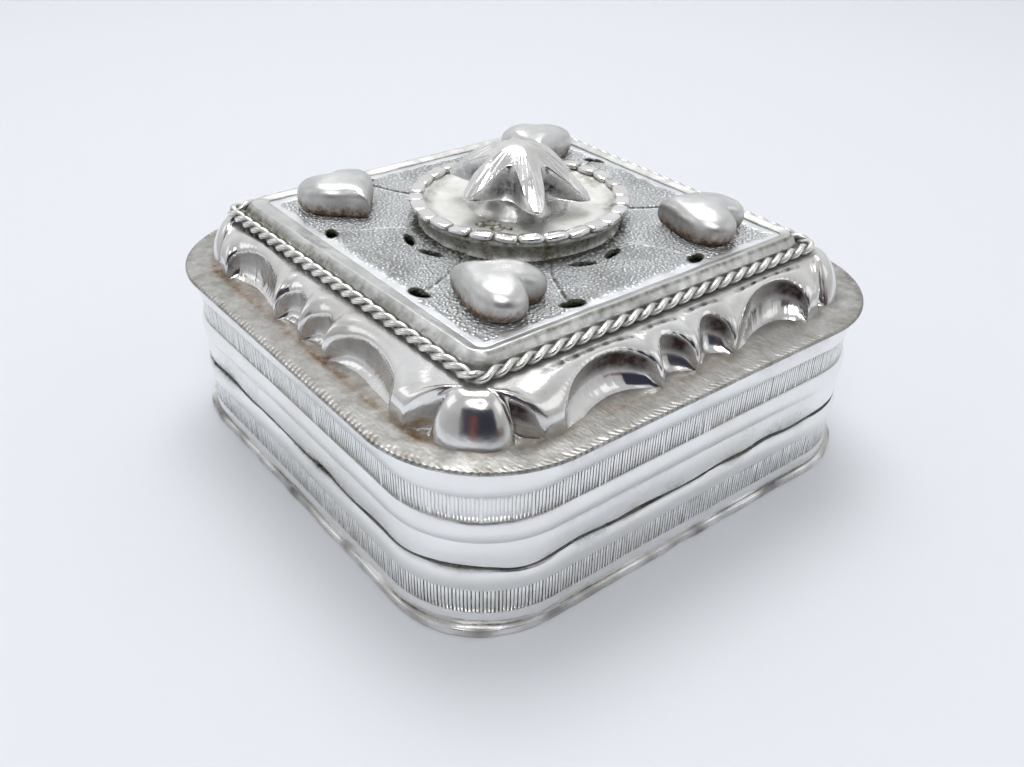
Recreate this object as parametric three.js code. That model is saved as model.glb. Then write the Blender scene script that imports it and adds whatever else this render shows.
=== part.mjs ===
// Square silver mint box with rounded corners and a lift-off lid, in millimetres.
// +Z is up, the origin is the middle of the underside, and the front is the -Y side.
// The box is a base plate, a rolled wall and an inner bezel. The lid slides down over the bezel.
import * as THREE from 'three';

// Lid flange and the stamped scroll border inside it
const RIM_WIDTH = 40;
const RIM_CORNER = 8.6;
const FLANGE_WIDTH = 2.2;
const FLANGE_SHEET = 0.55;
const BORDER_WIDTH = 2.65;
const BORDER_RISE = 2.85;
const BORDER_SHEET = 0.5;
const STEP_CORNER = 1.2;

// Scrolls along one side of the border, measured from the middle of the side
const FLUTE_PITCH = 3.2;
const FLUTES_EACH_WAY = 1;
const ARCH_LENGTH = 7;
const NOTCH_LENGTH = 2.4;
const ROLL_SHARE = 0.35;

// Rolled walls, measured over the beads
const RIM_OVERHANG = 0.75;
const WALL_CORNER = 7.2;
const WALL_SHEET = 0.9;
const BEAD_BULGE = 0.25;
const MILL_DEPTH = 0.3;
const PLAIN_DEPTH = 0.2;
const MILL_BAND = 1.8;
const BOX_FOOT_BAND = 1.0;
const BOX_BEAD = 1.8;
const LID_FOOT_BAND = 1.6;
const LID_BEAD = 1.5;
const LID_TOP_BAND = 1.7;
const SEAM_GAP = 0.3;

// Base plate, bezel and lining
const BASE_LIP = 0.15;
const BASE_CORNER = 6.6;
const BASE_SHEET = 0.6;
const BASE_EDGE_ROUND = 0.12;
const BEZEL_SHEET = 0.5;
const SOLDER_GAP = 0.05;
const LID_CLEARANCE = 0.2;
const LINING_SHEET = 0.4;

// Twisted wire and frame strip on the raised step
const ROPE_DIAMETER = 0.82;
const ROPE_WAIST = 0.5;
const ROPE_LOBES_PER_SIDE = 24;
const ROPE_CORNER = 1.4;
const ROPE_MARGIN = 0.05;
const FRAME_THICK = 1.1;
const FRAME_SLOPE = 0.45;
const FRAME_LIP = 0.5;
const FRAME_CORNER = 1.0;
const FRAME_PROUD = 0.2;
const LEDGE_WIDTH = 0.4;
const LEDGE_HEIGHT = 0.7;
const STEP_LAND = 0.2;

// Pierced panel
const PANEL_SHEET = 0.4;
const PIERCE_LENGTH = 1.5;
const PIERCE_WIDTH = 0.55;
const PIERCE_MARGIN = 0.35;
const INNER_PIERCE_SPREAD = 1.3;
const OUTER_PIERCE_SPREAD = 5.4;

// Dish, pearled ring and star rosette in the middle
const DISH_RADIUS = 7.8;
const DISH_FOOT = 6.9;
const DISH_HEIGHT = 1.5;
const DISH_SHEET = 0.35;
const DISH_SINK = 0.35;
const PEARL_COUNT = 28;
const PEARL_WIDTH = 1.1;
const PEARL_HEIGHT = 0.5;
const PEARL_VALLEY = 0.62;
const ROSETTE_RADIUS = 5.1;
const ROSETTE_VALLEY = 3.5;
const ROSETTE_FOOT = 2.6;
const ROSETTE_HEIGHT = 4.45;
const ROSETTE_TIP_LIFT = 1.1;
const ROSETTE_EDGE = 0.35;
const ROSETTE_FLUTE = 0.55;
const ROSETTE_CROWN = 0.06;
const ROSETTE_PETALS = 6;
const ROSETTE_TURN = THREE.MathUtils.degToRad(36);
const ROSETTE_LEAN = Math.tan(THREE.MathUtils.degToRad(5));
const ROSETTE_RAISED_SIDE = THREE.MathUtils.degToRad(-125);

// Puffed hearts in the corners, their points towards the rosette
const HEART_WIDTH = 6.0;
const HEART_HEIGHT = 2.4;
const HEART_FOOT_SHARE = 0.88;
const HEART_PUFF = 2.6;
const HEART_WIDEST = 0.25;
const HEART_CROWN = 0.12;
const HEART_POINT_GAP = 1.8;
const HEART_CORNER_GAP = 2.6;
const HEART_TWISTS = { back_right: -15, back_left: 10, front_left: -5, front_right: 20 };

// Mesh fineness
const CORNER_STEPS = 8;
const BORDER_SIDE_STEPS = 22;
const BORDER_CORNER_STEPS = 10;
const BORDER_ROWS = 4;
const BEAD_STEPS = 5;
const FRAME_CORNER_STEPS = 3;
const ROPE_STEPS_PER_LOBE = 3;
const ROPE_SECTION_POINTS = 6;
const ROUND_STEPS = 36;
const PEARL_STEPS = 4;
const PETAL_STEPS = 8;
const ROSETTE_ROWS = 4;
const HEART_STEPS = 28;
const HEART_ROWS = 5;

// Plan sizes, as half widths
const rimHalf = RIM_WIDTH / 2;
const footHalf = rimHalf - FLANGE_WIDTH;
const stepHalf = footHalf - BORDER_WIDTH;
const wallHalf = rimHalf - RIM_OVERHANG;
const baseHalf = wallHalf + BASE_LIP;
const wallInner = wallHalf - WALL_SHEET;
const bezelOuter = wallInner - SOLDER_GAP;
const bezelInner = bezelOuter - BEZEL_SHEET;
const lidInner = bezelOuter + LID_CLEARANCE;
const liningHalf = lidInner - SOLDER_GAP;
const ropeHalf = stepHalf - ROPE_MARGIN - ROPE_DIAMETER / 2;
const frameHalf = ropeHalf - ROPE_DIAMETER / 2 - ROPE_MARGIN;
const frameInner = frameHalf - FRAME_THICK;
const ledgeHalf = frameInner - LEDGE_WIDTH;
const openingHalf = ledgeHalf - STEP_LAND;
const panelHalf = frameInner - SOLDER_GAP;

// Heights
const boxTop = BASE_SHEET + BOX_FOOT_BAND + MILL_BAND + BOX_BEAD;
const lidFoot = boxTop + SEAM_GAP;
const flangeUnder = lidFoot + LID_FOOT_BAND + LID_BEAD + MILL_BAND + LID_TOP_BAND;
const flangeTop = flangeUnder + FLANGE_SHEET;
const liningUnder = flangeUnder - LINING_SHEET;
const stepTop = flangeTop + BORDER_RISE;
const ledgeTop = stepTop + LEDGE_HEIGHT;
const panelTop = ledgeTop + PANEL_SHEET;
const frameTop = panelTop + FRAME_PROUD;
const dishSeat = panelTop + DISH_HEIGHT;
const dishFloor = dishSeat - DISH_SINK;

// Points of a square with rounded corners, anticlockwise from the start of the +X side
function squareLoop(half, corner, sideSteps, cornerSteps) {
  const centre = half - corner;
  const points = [];
  for (let quarter = 0; quarter < 4; quarter += 1) {
    const turn = quarter * Math.PI / 2;
    const place = (x, y) => points.push(new THREE.Vector2(x, y).rotateAround(new THREE.Vector2(), turn));
    for (let i = 0; i < sideSteps; i += 1) {
      place(half, centre * (2 * i / sideSteps - 1));
    }
    for (let i = 0; i < cornerSteps; i += 1) {
      const angle = Math.PI / 2 * i / cornerSteps;
      place(centre + corner * Math.cos(angle), centre + corner * Math.sin(angle));
    }
  }
  return points;
}

// One row of a lofted skin: a plan loop lifted to one height
function level(loop, z) {
  return loop.map((point) => new THREE.Vector3(point.x, point.y, z));
}

function signedVolume(positions, indices) {
  const a = new THREE.Vector3();
  const b = new THREE.Vector3();
  const c = new THREE.Vector3();
  let volume = 0;
  for (let i = 0; i < indices.length; i += 3) {
    a.fromArray(positions, 3 * indices[i]);
    b.fromArray(positions, 3 * indices[i + 1]);
    c.fromArray(positions, 3 * indices[i + 2]);
    volume += a.dot(b.cross(c)) / 6;
  }
  return volume;
}

// Closed skin over rows of equal length. A ring joins its last row to its first,
// and any other skin closes each end with a fan round the middle of the end row.
function loft(rows, isRing) {
  const count = rows[0].length;
  const points = rows.flat();
  const indices = [];
  const lastRow = isRing ? rows.length : rows.length - 1;
  for (let row = 0; row < lastRow; row += 1) {
    const next = (row + 1) % rows.length;
    for (let i = 0; i < count; i += 1) {
      const j = (i + 1) % count;
      const corners = [row * count + i, row * count + j, next * count + j, next * count + i];
      indices.push(corners[0], corners[1], corners[2], corners[0], corners[2], corners[3]);
    }
  }
  if (!isRing) {
    for (const row of [0, rows.length - 1]) {
      const middle = new THREE.Vector3();
      rows[row].forEach((point) => middle.addScaledVector(point, 1 / count));
      points.push(middle);
      for (let i = 0; i < count; i += 1) {
        const edge = [row * count + i, row * count + (i + 1) % count];
        indices.push(points.length - 1, row === 0 ? edge[1] : edge[0], row === 0 ? edge[0] : edge[1]);
      }
    }
  }
  const positions = points.flatMap((point) => point.toArray());
  if (signedVolume(positions, indices) < 0) {
    indices.reverse();
  }
  const geometry = new THREE.BufferGeometry();
  geometry.setAttribute('position', new THREE.Float32BufferAttribute(positions, 3));
  geometry.setIndex(indices);
  geometry.computeVertexNormals();
  return geometry;
}

// Profile of [half width, height] points carried round a square whose corners share one centre
function sweepSquare(profile, cornerCentre, cornerSteps) {
  const rows = profile.map(([half, z]) => level(squareLoop(half, half - cornerCentre, 1, cornerSteps), z));
  return loft(rows, true);
}

// Outer outline of a straight band, from its foot to its top
function flatBand(depth, from, to) {
  return [[wallHalf - depth, from], [wallHalf - depth, to]];
}

// Outer outline of a half-round bead, from its foot to its top
function beadBand(from, to) {
  const points = [];
  for (let i = 0; i <= BEAD_STEPS; i += 1) {
    const share = i / BEAD_STEPS;
    const half = wallHalf - BEAD_BULGE * (1 - Math.sin(Math.PI * share));
    points.push([half, THREE.MathUtils.lerp(from, to, share)]);
  }
  return points;
}

const wallCentre = wallHalf - WALL_CORNER;

function basePlate() {
  const lip = baseHalf - BASE_EDGE_ROUND;
  const lipCorner = BASE_CORNER - BASE_EDGE_ROUND;
  const inner = squareLoop(lip, lipCorner, 1, CORNER_STEPS);
  const outer = squareLoop(baseHalf, BASE_CORNER, 1, CORNER_STEPS);
  const rows = [
    level(inner, 0),
    level(outer, BASE_EDGE_ROUND),
    level(outer, BASE_SHEET - BASE_EDGE_ROUND),
    level(inner, BASE_SHEET),
  ];
  return loft(rows, false);
}

function boxWall() {
  const millFoot = BASE_SHEET + BOX_FOOT_BAND;
  const beadFoot = millFoot + MILL_BAND;
  const profile = [
    ...flatBand(PLAIN_DEPTH, BASE_SHEET, millFoot),
    ...flatBand(MILL_DEPTH, millFoot, beadFoot),
    ...beadBand(beadFoot, boxTop),
    [wallInner, boxTop],
    [wallInner, BASE_SHEET],
  ];
  return sweepSquare(profile, wallCentre, CORNER_STEPS);
}

function innerBezel() {
  const profile = [
    [bezelOuter, BASE_SHEET],
    [bezelOuter, liningUnder],
    [bezelInner, liningUnder],
    [bezelInner, BASE_SHEET],
  ];
  return sweepSquare(profile, wallCentre, CORNER_STEPS);
}

function lidWall() {
  const beadFoot = lidFoot + LID_FOOT_BAND;
  const millFoot = beadFoot + LID_BEAD;
  const topFoot = millFoot + MILL_BAND;
  const profile = [
    ...flatBand(PLAIN_DEPTH, lidFoot, beadFoot),
    ...beadBand(beadFoot, millFoot),
    ...flatBand(MILL_DEPTH, millFoot, topFoot),
    ...beadBand(topFoot, flangeUnder),
    [lidInner, flangeUnder],
    [lidInner, lidFoot],
  ];
  return sweepSquare(profile, wallCentre, CORNER_STEPS);
}

function lidLining() {
  const loop = squareLoop(liningHalf, liningHalf - wallCentre, 1, CORNER_STEPS);
  return loft([level(loop, liningUnder), level(loop, flangeUnder)], false);
}

// How far the border swells at a distance from the middle of its side: 1 on a ridge, 0 in a hollow
function swell(distance) {
  const flutes = FLUTE_PITCH * FLUTES_EACH_WAY;
  const archEnd = flutes + ARCH_LENGTH;
  const notchEnd = archEnd + NOTCH_LENGTH;
  if (distance < flutes) {
    return 0.5 + 0.5 * Math.cos(2 * Math.PI * distance / FLUTE_PITCH);
  }
  if (distance < archEnd) {
    return 1 - Math.sqrt(Math.sin(Math.PI * (distance - flutes) / ARCH_LENGTH));
  }
  if (distance < notchEnd) {
    return 1 - Math.sin(Math.PI * (distance - archEnd) / NOTCH_LENGTH);
  }
  return 1;
}

// Distance of each column of the border from the middle of the nearest side, along the foot
function borderDistances(half, corner) {
  const centre = half - corner;
  const quarter = 2 * centre + corner * Math.PI / 2;
  const distances = [];
  for (let i = 0; i < BORDER_SIDE_STEPS; i += 1) {
    distances.push(centre * (2 * i / BORDER_SIDE_STEPS));
  }
  for (let i = 0; i < BORDER_CORNER_STEPS; i += 1) {
    distances.push(2 * centre + corner * Math.PI / 2 * i / BORDER_CORNER_STEPS);
  }
  const nearest = distances.map((s) => Math.min(Math.abs(s - centre), quarter - s + centre));
  return [nearest, nearest, nearest, nearest].flat();
}

// Border rows from foot to step: a quarter-round on the ridges and a cove in the hollows,
// with a plain roll along the top that the hollows stop short of
function borderRows(footLoop, stepLoop, footZ, stepZ, distances) {
  const rows = [];
  for (let row = 0; row <= BORDER_ROWS; row += 1) {
    const share = row / BORDER_ROWS;
    const angle = Math.PI / 2 * share;
    const roll = THREE.MathUtils.smoothstep(share, 1 - 2 * ROLL_SHARE, 1);
    rows.push(footLoop.map((foot, i) => {
      const ridge = THREE.MathUtils.lerp(swell(distances[i]), 1, roll);
      const out = THREE.MathUtils.lerp(1 - Math.sin(angle), Math.cos(angle), ridge);
      const up = THREE.MathUtils.lerp(1 - Math.cos(angle), Math.sin(angle), ridge);
      const plan = stepLoop[i].clone().lerp(foot, out);
      return new THREE.Vector3(plan.x, plan.y, THREE.MathUtils.lerp(footZ, stepZ, up));
    }));
  }
  return rows;
}

function lidPlate() {
  const loop = (half, corner) => squareLoop(half, corner, BORDER_SIDE_STEPS, BORDER_CORNER_STEPS);
  const footCorner = RIM_CORNER - FLANGE_WIDTH;
  const rim = loop(rimHalf, RIM_CORNER);
  const foot = loop(footHalf, footCorner);
  const step = loop(stepHalf, STEP_CORNER);
  const footUnder = loop(footHalf - BORDER_SHEET, footCorner - BORDER_SHEET);
  const stepUnder = loop(stepHalf - BORDER_SHEET, STEP_CORNER - BORDER_SHEET);
  const opening = loop(openingHalf, STEP_CORNER - BORDER_SHEET);
  const distances = borderDistances(footHalf, footCorner);
  const under = borderRows(footUnder, stepUnder, flangeUnder, stepTop - BORDER_SHEET, distances);
  const rows = [
    level(rim, flangeUnder),
    level(rim, flangeTop),
    ...borderRows(foot, step, flangeTop, stepTop, distances),
    level(opening, stepTop),
    level(opening, stepTop - BORDER_SHEET),
    ...under.reverse(),
  ];
  return loft(rows, true);
}

// Plan of the frame strip and of the panel inside it, with corners that shrink with the width
function frameLoop(half) {
  return squareLoop(half, FRAME_CORNER * half / frameHalf, 1, FRAME_CORNER_STEPS);
}

function frameStrip() {
  const crest = frameHalf - FRAME_SLOPE;
  const crown = (crest + frameInner) / 2;
  const shoulder = frameTop - FRAME_PROUD / 2;
  const profile = [
    [ledgeHalf, stepTop],
    [frameHalf, stepTop],
    [frameHalf, stepTop + FRAME_LIP],
    [crest, shoulder],
    [crown, frameTop],
    [frameInner, shoulder],
    [frameInner, ledgeTop],
    [ledgeHalf, ledgeTop],
  ];
  return loft(profile.map(([half, z]) => level(frameLoop(half), z)), true);
}

// Rope of two wires: an hourglass section that turns half round for each lobe, along a rounded square
function ropeBorder() {
  const lobes = 4 * ROPE_LOBES_PER_SIDE;
  const steps = lobes * ROPE_STEPS_PER_LOBE;
  const straight = 2 * (ropeHalf - ROPE_CORNER);
  const bend = ROPE_CORNER * Math.PI / 2;
  const quarterSteps = steps / 4;
  const rows = [];
  for (let i = 0; i < steps; i += 1) {
    const along = (straight + bend) * (i % quarterSteps) / quarterSteps;
    const arc = Math.max(0, along - straight) / ROPE_CORNER;
    const turn = Math.floor(i / quarterSteps) * Math.PI / 2;
    const centre = ropeHalf - ROPE_CORNER;
    const plan = new THREE.Vector2(
      centre + ROPE_CORNER * Math.cos(arc),
      Math.min(along, straight) - straight / 2 + ROPE_CORNER * Math.sin(arc),
    ).rotateAround(new THREE.Vector2(), turn);
    const outward = new THREE.Vector2(Math.cos(arc), Math.sin(arc)).rotateAround(new THREE.Vector2(), turn);
    const twist = Math.PI * i / ROPE_STEPS_PER_LOBE;
    const row = [];
    for (let k = 0; k < ROPE_SECTION_POINTS; k += 1) {
      const angle = 2 * Math.PI * k / ROPE_SECTION_POINTS;
      const across = Math.cos(angle) ** 2;
      const radius = THREE.MathUtils.lerp(ROPE_WAIST, ROPE_DIAMETER, across) / 2;
      const out = radius * Math.cos(angle + twist);
      const up = radius * Math.sin(angle + twist);
      const z = stepTop + ROPE_DIAMETER / 2 + up;
      row.push(new THREE.Vector3(plan.x + outward.x * out, plan.y + outward.y * out, z));
    }
    rows.push(row);
  }
  return loft(rows, true);
}

// Lens-shaped hole, its long way along X, turned and moved to its place
function lensHole(x, y, turn) {
  const points = [];
  const sides = 8;
  for (let i = 0; i < sides; i += 1) {
    const angle = 2 * Math.PI * i / sides;
    const point = new THREE.Vector2(PIERCE_LENGTH / 2 * Math.cos(angle), PIERCE_WIDTH / 2 * Math.sin(angle));
    points.push(point.add(new THREE.Vector2(x, y)).rotateAround(new THREE.Vector2(), turn));
  }
  return new THREE.Path(points);
}

function piercedPanel() {
  const shape = new THREE.Shape(frameLoop(panelHalf));
  const nearDish = DISH_RADIUS + PIERCE_MARGIN + PIERCE_WIDTH / 2;
  const nearFrame = ledgeHalf - PIERCE_MARGIN - PIERCE_WIDTH / 2;
  for (let side = 0; side < 4; side += 1) {
    const turn = side * Math.PI / 2;
    for (const hand of [-1, 1]) {
      shape.holes.push(lensHole(hand * INNER_PIERCE_SPREAD, -nearDish, turn));
      shape.holes.push(lensHole(hand * OUTER_PIERCE_SPREAD, -nearFrame, turn));
    }
  }
  const geometry = new THREE.ExtrudeGeometry(shape, { depth: PANEL_SHEET, bevelEnabled: false });
  return geometry.translate(0, 0, ledgeTop);
}

function rosetteDish() {
  const rimInner = DISH_RADIUS - PEARL_WIDTH;
  const floorRadius = rimInner - DISH_SINK;
  const profile = [
    [0, dishFloor - DISH_SHEET],
    [DISH_FOOT - DISH_SHEET, dishFloor - DISH_SHEET],
    [DISH_FOOT - DISH_SHEET, panelTop],
    [DISH_FOOT, panelTop],
    [DISH_FOOT, panelTop + DISH_HEIGHT / 2],
    [DISH_RADIUS, dishSeat - DISH_SHEET],
    [DISH_RADIUS, dishSeat],
    [rimInner, dishSeat],
    [floorRadius, dishFloor],
    [0, dishFloor],
  ].map(([x, y]) => new THREE.Vector2(x, y));
  return new THREE.LatheGeometry(profile, ROUND_STEPS).rotateX(Math.PI / 2);
}

// Ring of pearls: a half-round section that swells and narrows once for each pearl
function beadedRing() {
  const middle = DISH_RADIUS - PEARL_WIDTH / 2;
  const steps = PEARL_COUNT * PEARL_STEPS;
  const rows = [];
  for (let i = 0; i < steps; i += 1) {
    const angle = 2 * Math.PI * i / steps;
    const phase = Math.PI * i / PEARL_STEPS;
    const size = THREE.MathUtils.lerp(PEARL_VALLEY, 1, Math.abs(Math.sin(phase)));
    const row = [];
    for (let k = 0; k <= PEARL_STEPS + 1; k += 1) {
      const around = Math.PI * k / (PEARL_STEPS + 1);
      const radius = middle + size * PEARL_WIDTH / 2 * Math.cos(around);
      const z = dishSeat + size * PEARL_HEIGHT * Math.sin(around);
      row.push(new THREE.Vector3(radius * Math.cos(angle), radius * Math.sin(angle), z));
    }
    rows.push(row);
  }
  return loft(rows, true);
}

// Star of ridged petals: a dome whose edge runs out to a tip on each ridge, with a hollow flute
// between ridges and a narrower foot flat on the dish. The dome leans, one side higher.
function rosette() {
  const columns = ROSETTE_PETALS * PETAL_STEPS;
  const tipZ = dishFloor + ROSETTE_TIP_LIFT + ROSETTE_EDGE;
  const apexZ = dishFloor + ROSETTE_HEIGHT;
  const ring = (lean, radiusAt, heightAt) => {
    const row = [];
    for (let i = 0; i < columns; i += 1) {
      const angle = 2 * Math.PI * i / columns;
      const ridge = Math.cos(ROSETTE_PETALS * angle / 2) ** 2;
      const radius = radiusAt(ridge);
      const facing = angle + ROSETTE_TURN;
      const z = heightAt(ridge) + lean * radius * Math.cos(facing - ROSETTE_RAISED_SIDE);
      row.push(new THREE.Vector3(radius * Math.cos(facing), radius * Math.sin(facing), z));
    }
    return row;
  };
  const edge = (ridge) => THREE.MathUtils.lerp(ROSETTE_VALLEY, ROSETTE_RADIUS, ridge);
  const rows = [ring(0, () => ROSETTE_FOOT, () => dishFloor)];
  rows.push(ring(ROSETTE_LEAN, edge, () => tipZ - ROSETTE_EDGE));
  for (let row = ROSETTE_ROWS; row >= 0; row -= 1) {
    const share = Math.max(row / ROSETTE_ROWS, ROSETTE_CROWN);
    const dome = THREE.MathUtils.lerp(apexZ, tipZ, share ** 2);
    const flute = ROSETTE_FLUTE * Math.sin(Math.PI * share);
    rows.push(ring(ROSETTE_LEAN, (ridge) => share * edge(ridge), (ridge) => dome - flute * (1 - ridge)));
  }
  return loft(rows, false);
}

// Outline of a heart as a share of its half width and length, point at (-1, 0), lobes towards +X
function heartOutline() {
  const points = [];
  for (let i = 0; i < HEART_STEPS; i += 1) {
    const t = 2 * Math.PI * (i + 0.5) / HEART_STEPS;
    const along = 13 * Math.cos(t) - 5 * Math.cos(2 * t) - 2 * Math.cos(3 * t) - Math.cos(4 * t);
    points.push(new THREE.Vector2(along, Math.sin(t) ** 3));
  }
  const lengths = points.map((point) => point.x);
  const low = Math.min(...lengths);
  const high = Math.max(...lengths);
  return points.map((point) => new THREE.Vector2(2 * (point.x - low) / (high - low) - 1, point.y));
}

// Puffed heart on the panel's diagonal in one corner, twisted a little about its own middle.
// It is widest some way above its foot and rounds over to a small flat crown.
function cornerHeart(turn, twist) {
  const pointAt = DISH_RADIUS + HEART_POINT_GAP;
  const lobesAt = panelHalf * Math.SQRT2 - HEART_CORNER_GAP;
  const middle = new THREE.Vector2((pointAt + lobesAt) / 2, 0);
  const size = new THREE.Vector2((lobesAt - pointAt) / 2, HEART_WIDTH / 2);
  const outline = heartOutline();
  const row = (share, rise) => outline.map((point) => {
    const plan = point.clone().multiply(size).multiplyScalar(share);
    plan.rotateAround(new THREE.Vector2(), twist).add(middle).rotateAround(new THREE.Vector2(), turn);
    return new THREE.Vector3(plan.x, plan.y, panelTop + HEART_HEIGHT * rise);
  });
  const rows = [row(HEART_FOOT_SHARE, 0)];
  for (let i = 0; i <= HEART_ROWS; i += 1) {
    const round = i / HEART_ROWS;
    const share = Math.max((1 - round ** HEART_PUFF) ** (1 / HEART_PUFF), HEART_CROWN);
    rows.push(row(share, THREE.MathUtils.lerp(HEART_WIDEST, 1, round)));
  }
  return loft(rows, false);
}

const BRIGHT_SILVER = { color: 0xdcdcda, roughness: 0.22, metalness: 1 };
const WORN_SILVER = { color: 0xc9c7c1, roughness: 0.32, metalness: 1 };
const GREY_SILVER = { color: 0xa9aaa8, roughness: 0.45, metalness: 1 };

function piece(name, geometry, finish) {
  const mesh = new THREE.Mesh(geometry, new THREE.MeshStandardMaterial(finish));
  mesh.name = name;
  return mesh;
}

const box = new THREE.Group();
box.name = 'box';
box.add(
  piece('base_plate', basePlate(), WORN_SILVER),
  piece('box_wall', boxWall(), BRIGHT_SILVER),
  piece('inner_bezel', innerBezel(), WORN_SILVER),
);

const lid = new THREE.Group();
lid.name = 'lid';
lid.add(
  piece('lid_wall', lidWall(), BRIGHT_SILVER),
  piece('lid_lining', lidLining(), WORN_SILVER),
  piece('lid_plate', lidPlate(), BRIGHT_SILVER),
  piece('frame_strip', frameStrip(), WORN_SILVER),
  piece('rope_border', ropeBorder(), BRIGHT_SILVER),
  piece('pierced_panel', piercedPanel(), GREY_SILVER),
  piece('rosette_dish', rosetteDish(), WORN_SILVER),
  piece('beaded_ring', beadedRing(), BRIGHT_SILVER),
  piece('rosette', rosette(), BRIGHT_SILVER),
);
Object.entries(HEART_TWISTS).forEach(([corner, degrees], i) => {
  const heart = cornerHeart(Math.PI / 4 + i * Math.PI / 2, THREE.MathUtils.degToRad(degrees));
  lid.add(piece(`heart_${corner}`, heart, BRIGHT_SILVER));
});

const mintBox = new THREE.Group();
mintBox.name = 'mint_box';
mintBox.add(box, lid);

export default mintBox;
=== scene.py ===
"""Looks of a small square silver mint box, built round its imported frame.

Every piece is modelled in millimetres, at its place, and shrunk to metres when it is done. Plan sizes are
half widths from the middle of the box, and heights are taken from the frame.
"""

import logging
import math
from collections.abc import Callable, Sequence
from dataclasses import dataclass, replace
from enum import Enum
from functools import lru_cache, partial

import bpy
import numpy as np
from mathutils import Matrix, Vector, noise


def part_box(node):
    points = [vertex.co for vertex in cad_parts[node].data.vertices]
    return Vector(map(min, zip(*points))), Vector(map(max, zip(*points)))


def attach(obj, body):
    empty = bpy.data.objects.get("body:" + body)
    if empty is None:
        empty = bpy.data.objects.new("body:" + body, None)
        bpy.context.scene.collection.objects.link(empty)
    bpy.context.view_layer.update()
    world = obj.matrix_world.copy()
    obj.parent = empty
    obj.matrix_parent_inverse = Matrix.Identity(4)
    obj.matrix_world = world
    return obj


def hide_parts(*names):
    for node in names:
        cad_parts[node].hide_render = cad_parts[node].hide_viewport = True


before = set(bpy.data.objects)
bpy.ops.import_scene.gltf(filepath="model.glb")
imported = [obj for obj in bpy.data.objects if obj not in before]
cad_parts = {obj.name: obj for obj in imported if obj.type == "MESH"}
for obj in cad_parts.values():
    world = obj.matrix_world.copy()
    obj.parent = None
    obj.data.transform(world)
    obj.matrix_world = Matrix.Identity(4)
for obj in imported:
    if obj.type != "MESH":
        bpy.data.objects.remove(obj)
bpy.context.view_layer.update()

LOG = logging.getLogger("mint_box")
MM = 0.001
SEED = 7
# Attributes that the materials read: dirt, with painted shade in some places, and where a punch has raised
# dots.
GRIME = "grime"
STIPPLE = "stipple"
# Direction of the scratches, in degrees, and size of the breaks in the dirt, in mm.
SCRATCH_TURN = -35.0
SPECKLE_MM = 0.5
# Roughness and metallic share of silver that is covered with dirt.
DIRT_ROUGHNESS = 0.7
DIRT_METAL = 0.35
# Vertices nearer than the gap are merged, and strips have faces as long as the step, in mm.
MERGE_GAP = 0.002
STRIP_STEP = 0.2

Array = np.ndarray
Piece = bpy.types.Object
Tree = bpy.types.NodeTree
Socket = bpy.types.NodeSocket
Placing = Callable[[Array, Array], tuple[Array, Array]]
Shaping = Callable[[Array, Array, Array], tuple[Array, Array]]
GapTable = tuple[Array, Array, Array]


class Body(Enum):
    """The two bodies of the box."""

    BOX = "box"
    LID = "lid"


class Slot(Enum):
    """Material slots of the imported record."""

    BRIGHT = "bright_silver"
    WORN = "worn_silver"
    GREY = "grey_silver"


class Band(Enum):
    """Ways in which a stretch of a rolled wall is worked."""

    PLAIN = "plain"
    BEAD = "bead"
    MILLED = "milled"


def linear(hex_colour: str) -> tuple[float, float, float, float]:
    """Turns an sRGB hex colour to linear light.

    Args:
        hex_colour: six hex digits after a hash sign.

    Returns:
        Red, green, blue and an alpha of 1.
    """
    shares = [int(hex_colour[i : i + 2], 16) / 255 for i in (1, 3, 5)]
    red, green, blue = (s / 12.92 if s <= 0.04045 else ((s + 0.055) / 1.055) ** 2.4 for s in shares)
    return red, green, blue, 1.0


def add_node(
    tree: Tree,
    kind: str,
    settings: dict | None = None,
    values: dict | None = None,
    links: dict | None = None,
) -> bpy.types.Node:
    """Adds one node with its settings, socket values and incoming links.

    Args:
        tree: the tree that gets the node.
        kind: the node's type name after ShaderNode.
        settings: properties of the node by name.
        values: constants of its input sockets by name or index.
        links: output sockets that feed its inputs, by input name or index.

    Returns:
        The new node.
    """
    node = tree.nodes.new(f"ShaderNode{kind}")
    for key, value in (settings or {}).items():
        setattr(node, key, value)
    for key, value in (values or {}).items():
        node.inputs[key].default_value = value
    for key, socket in (links or {}).items():
        tree.links.new(socket, node.inputs[key])
    return node


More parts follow.
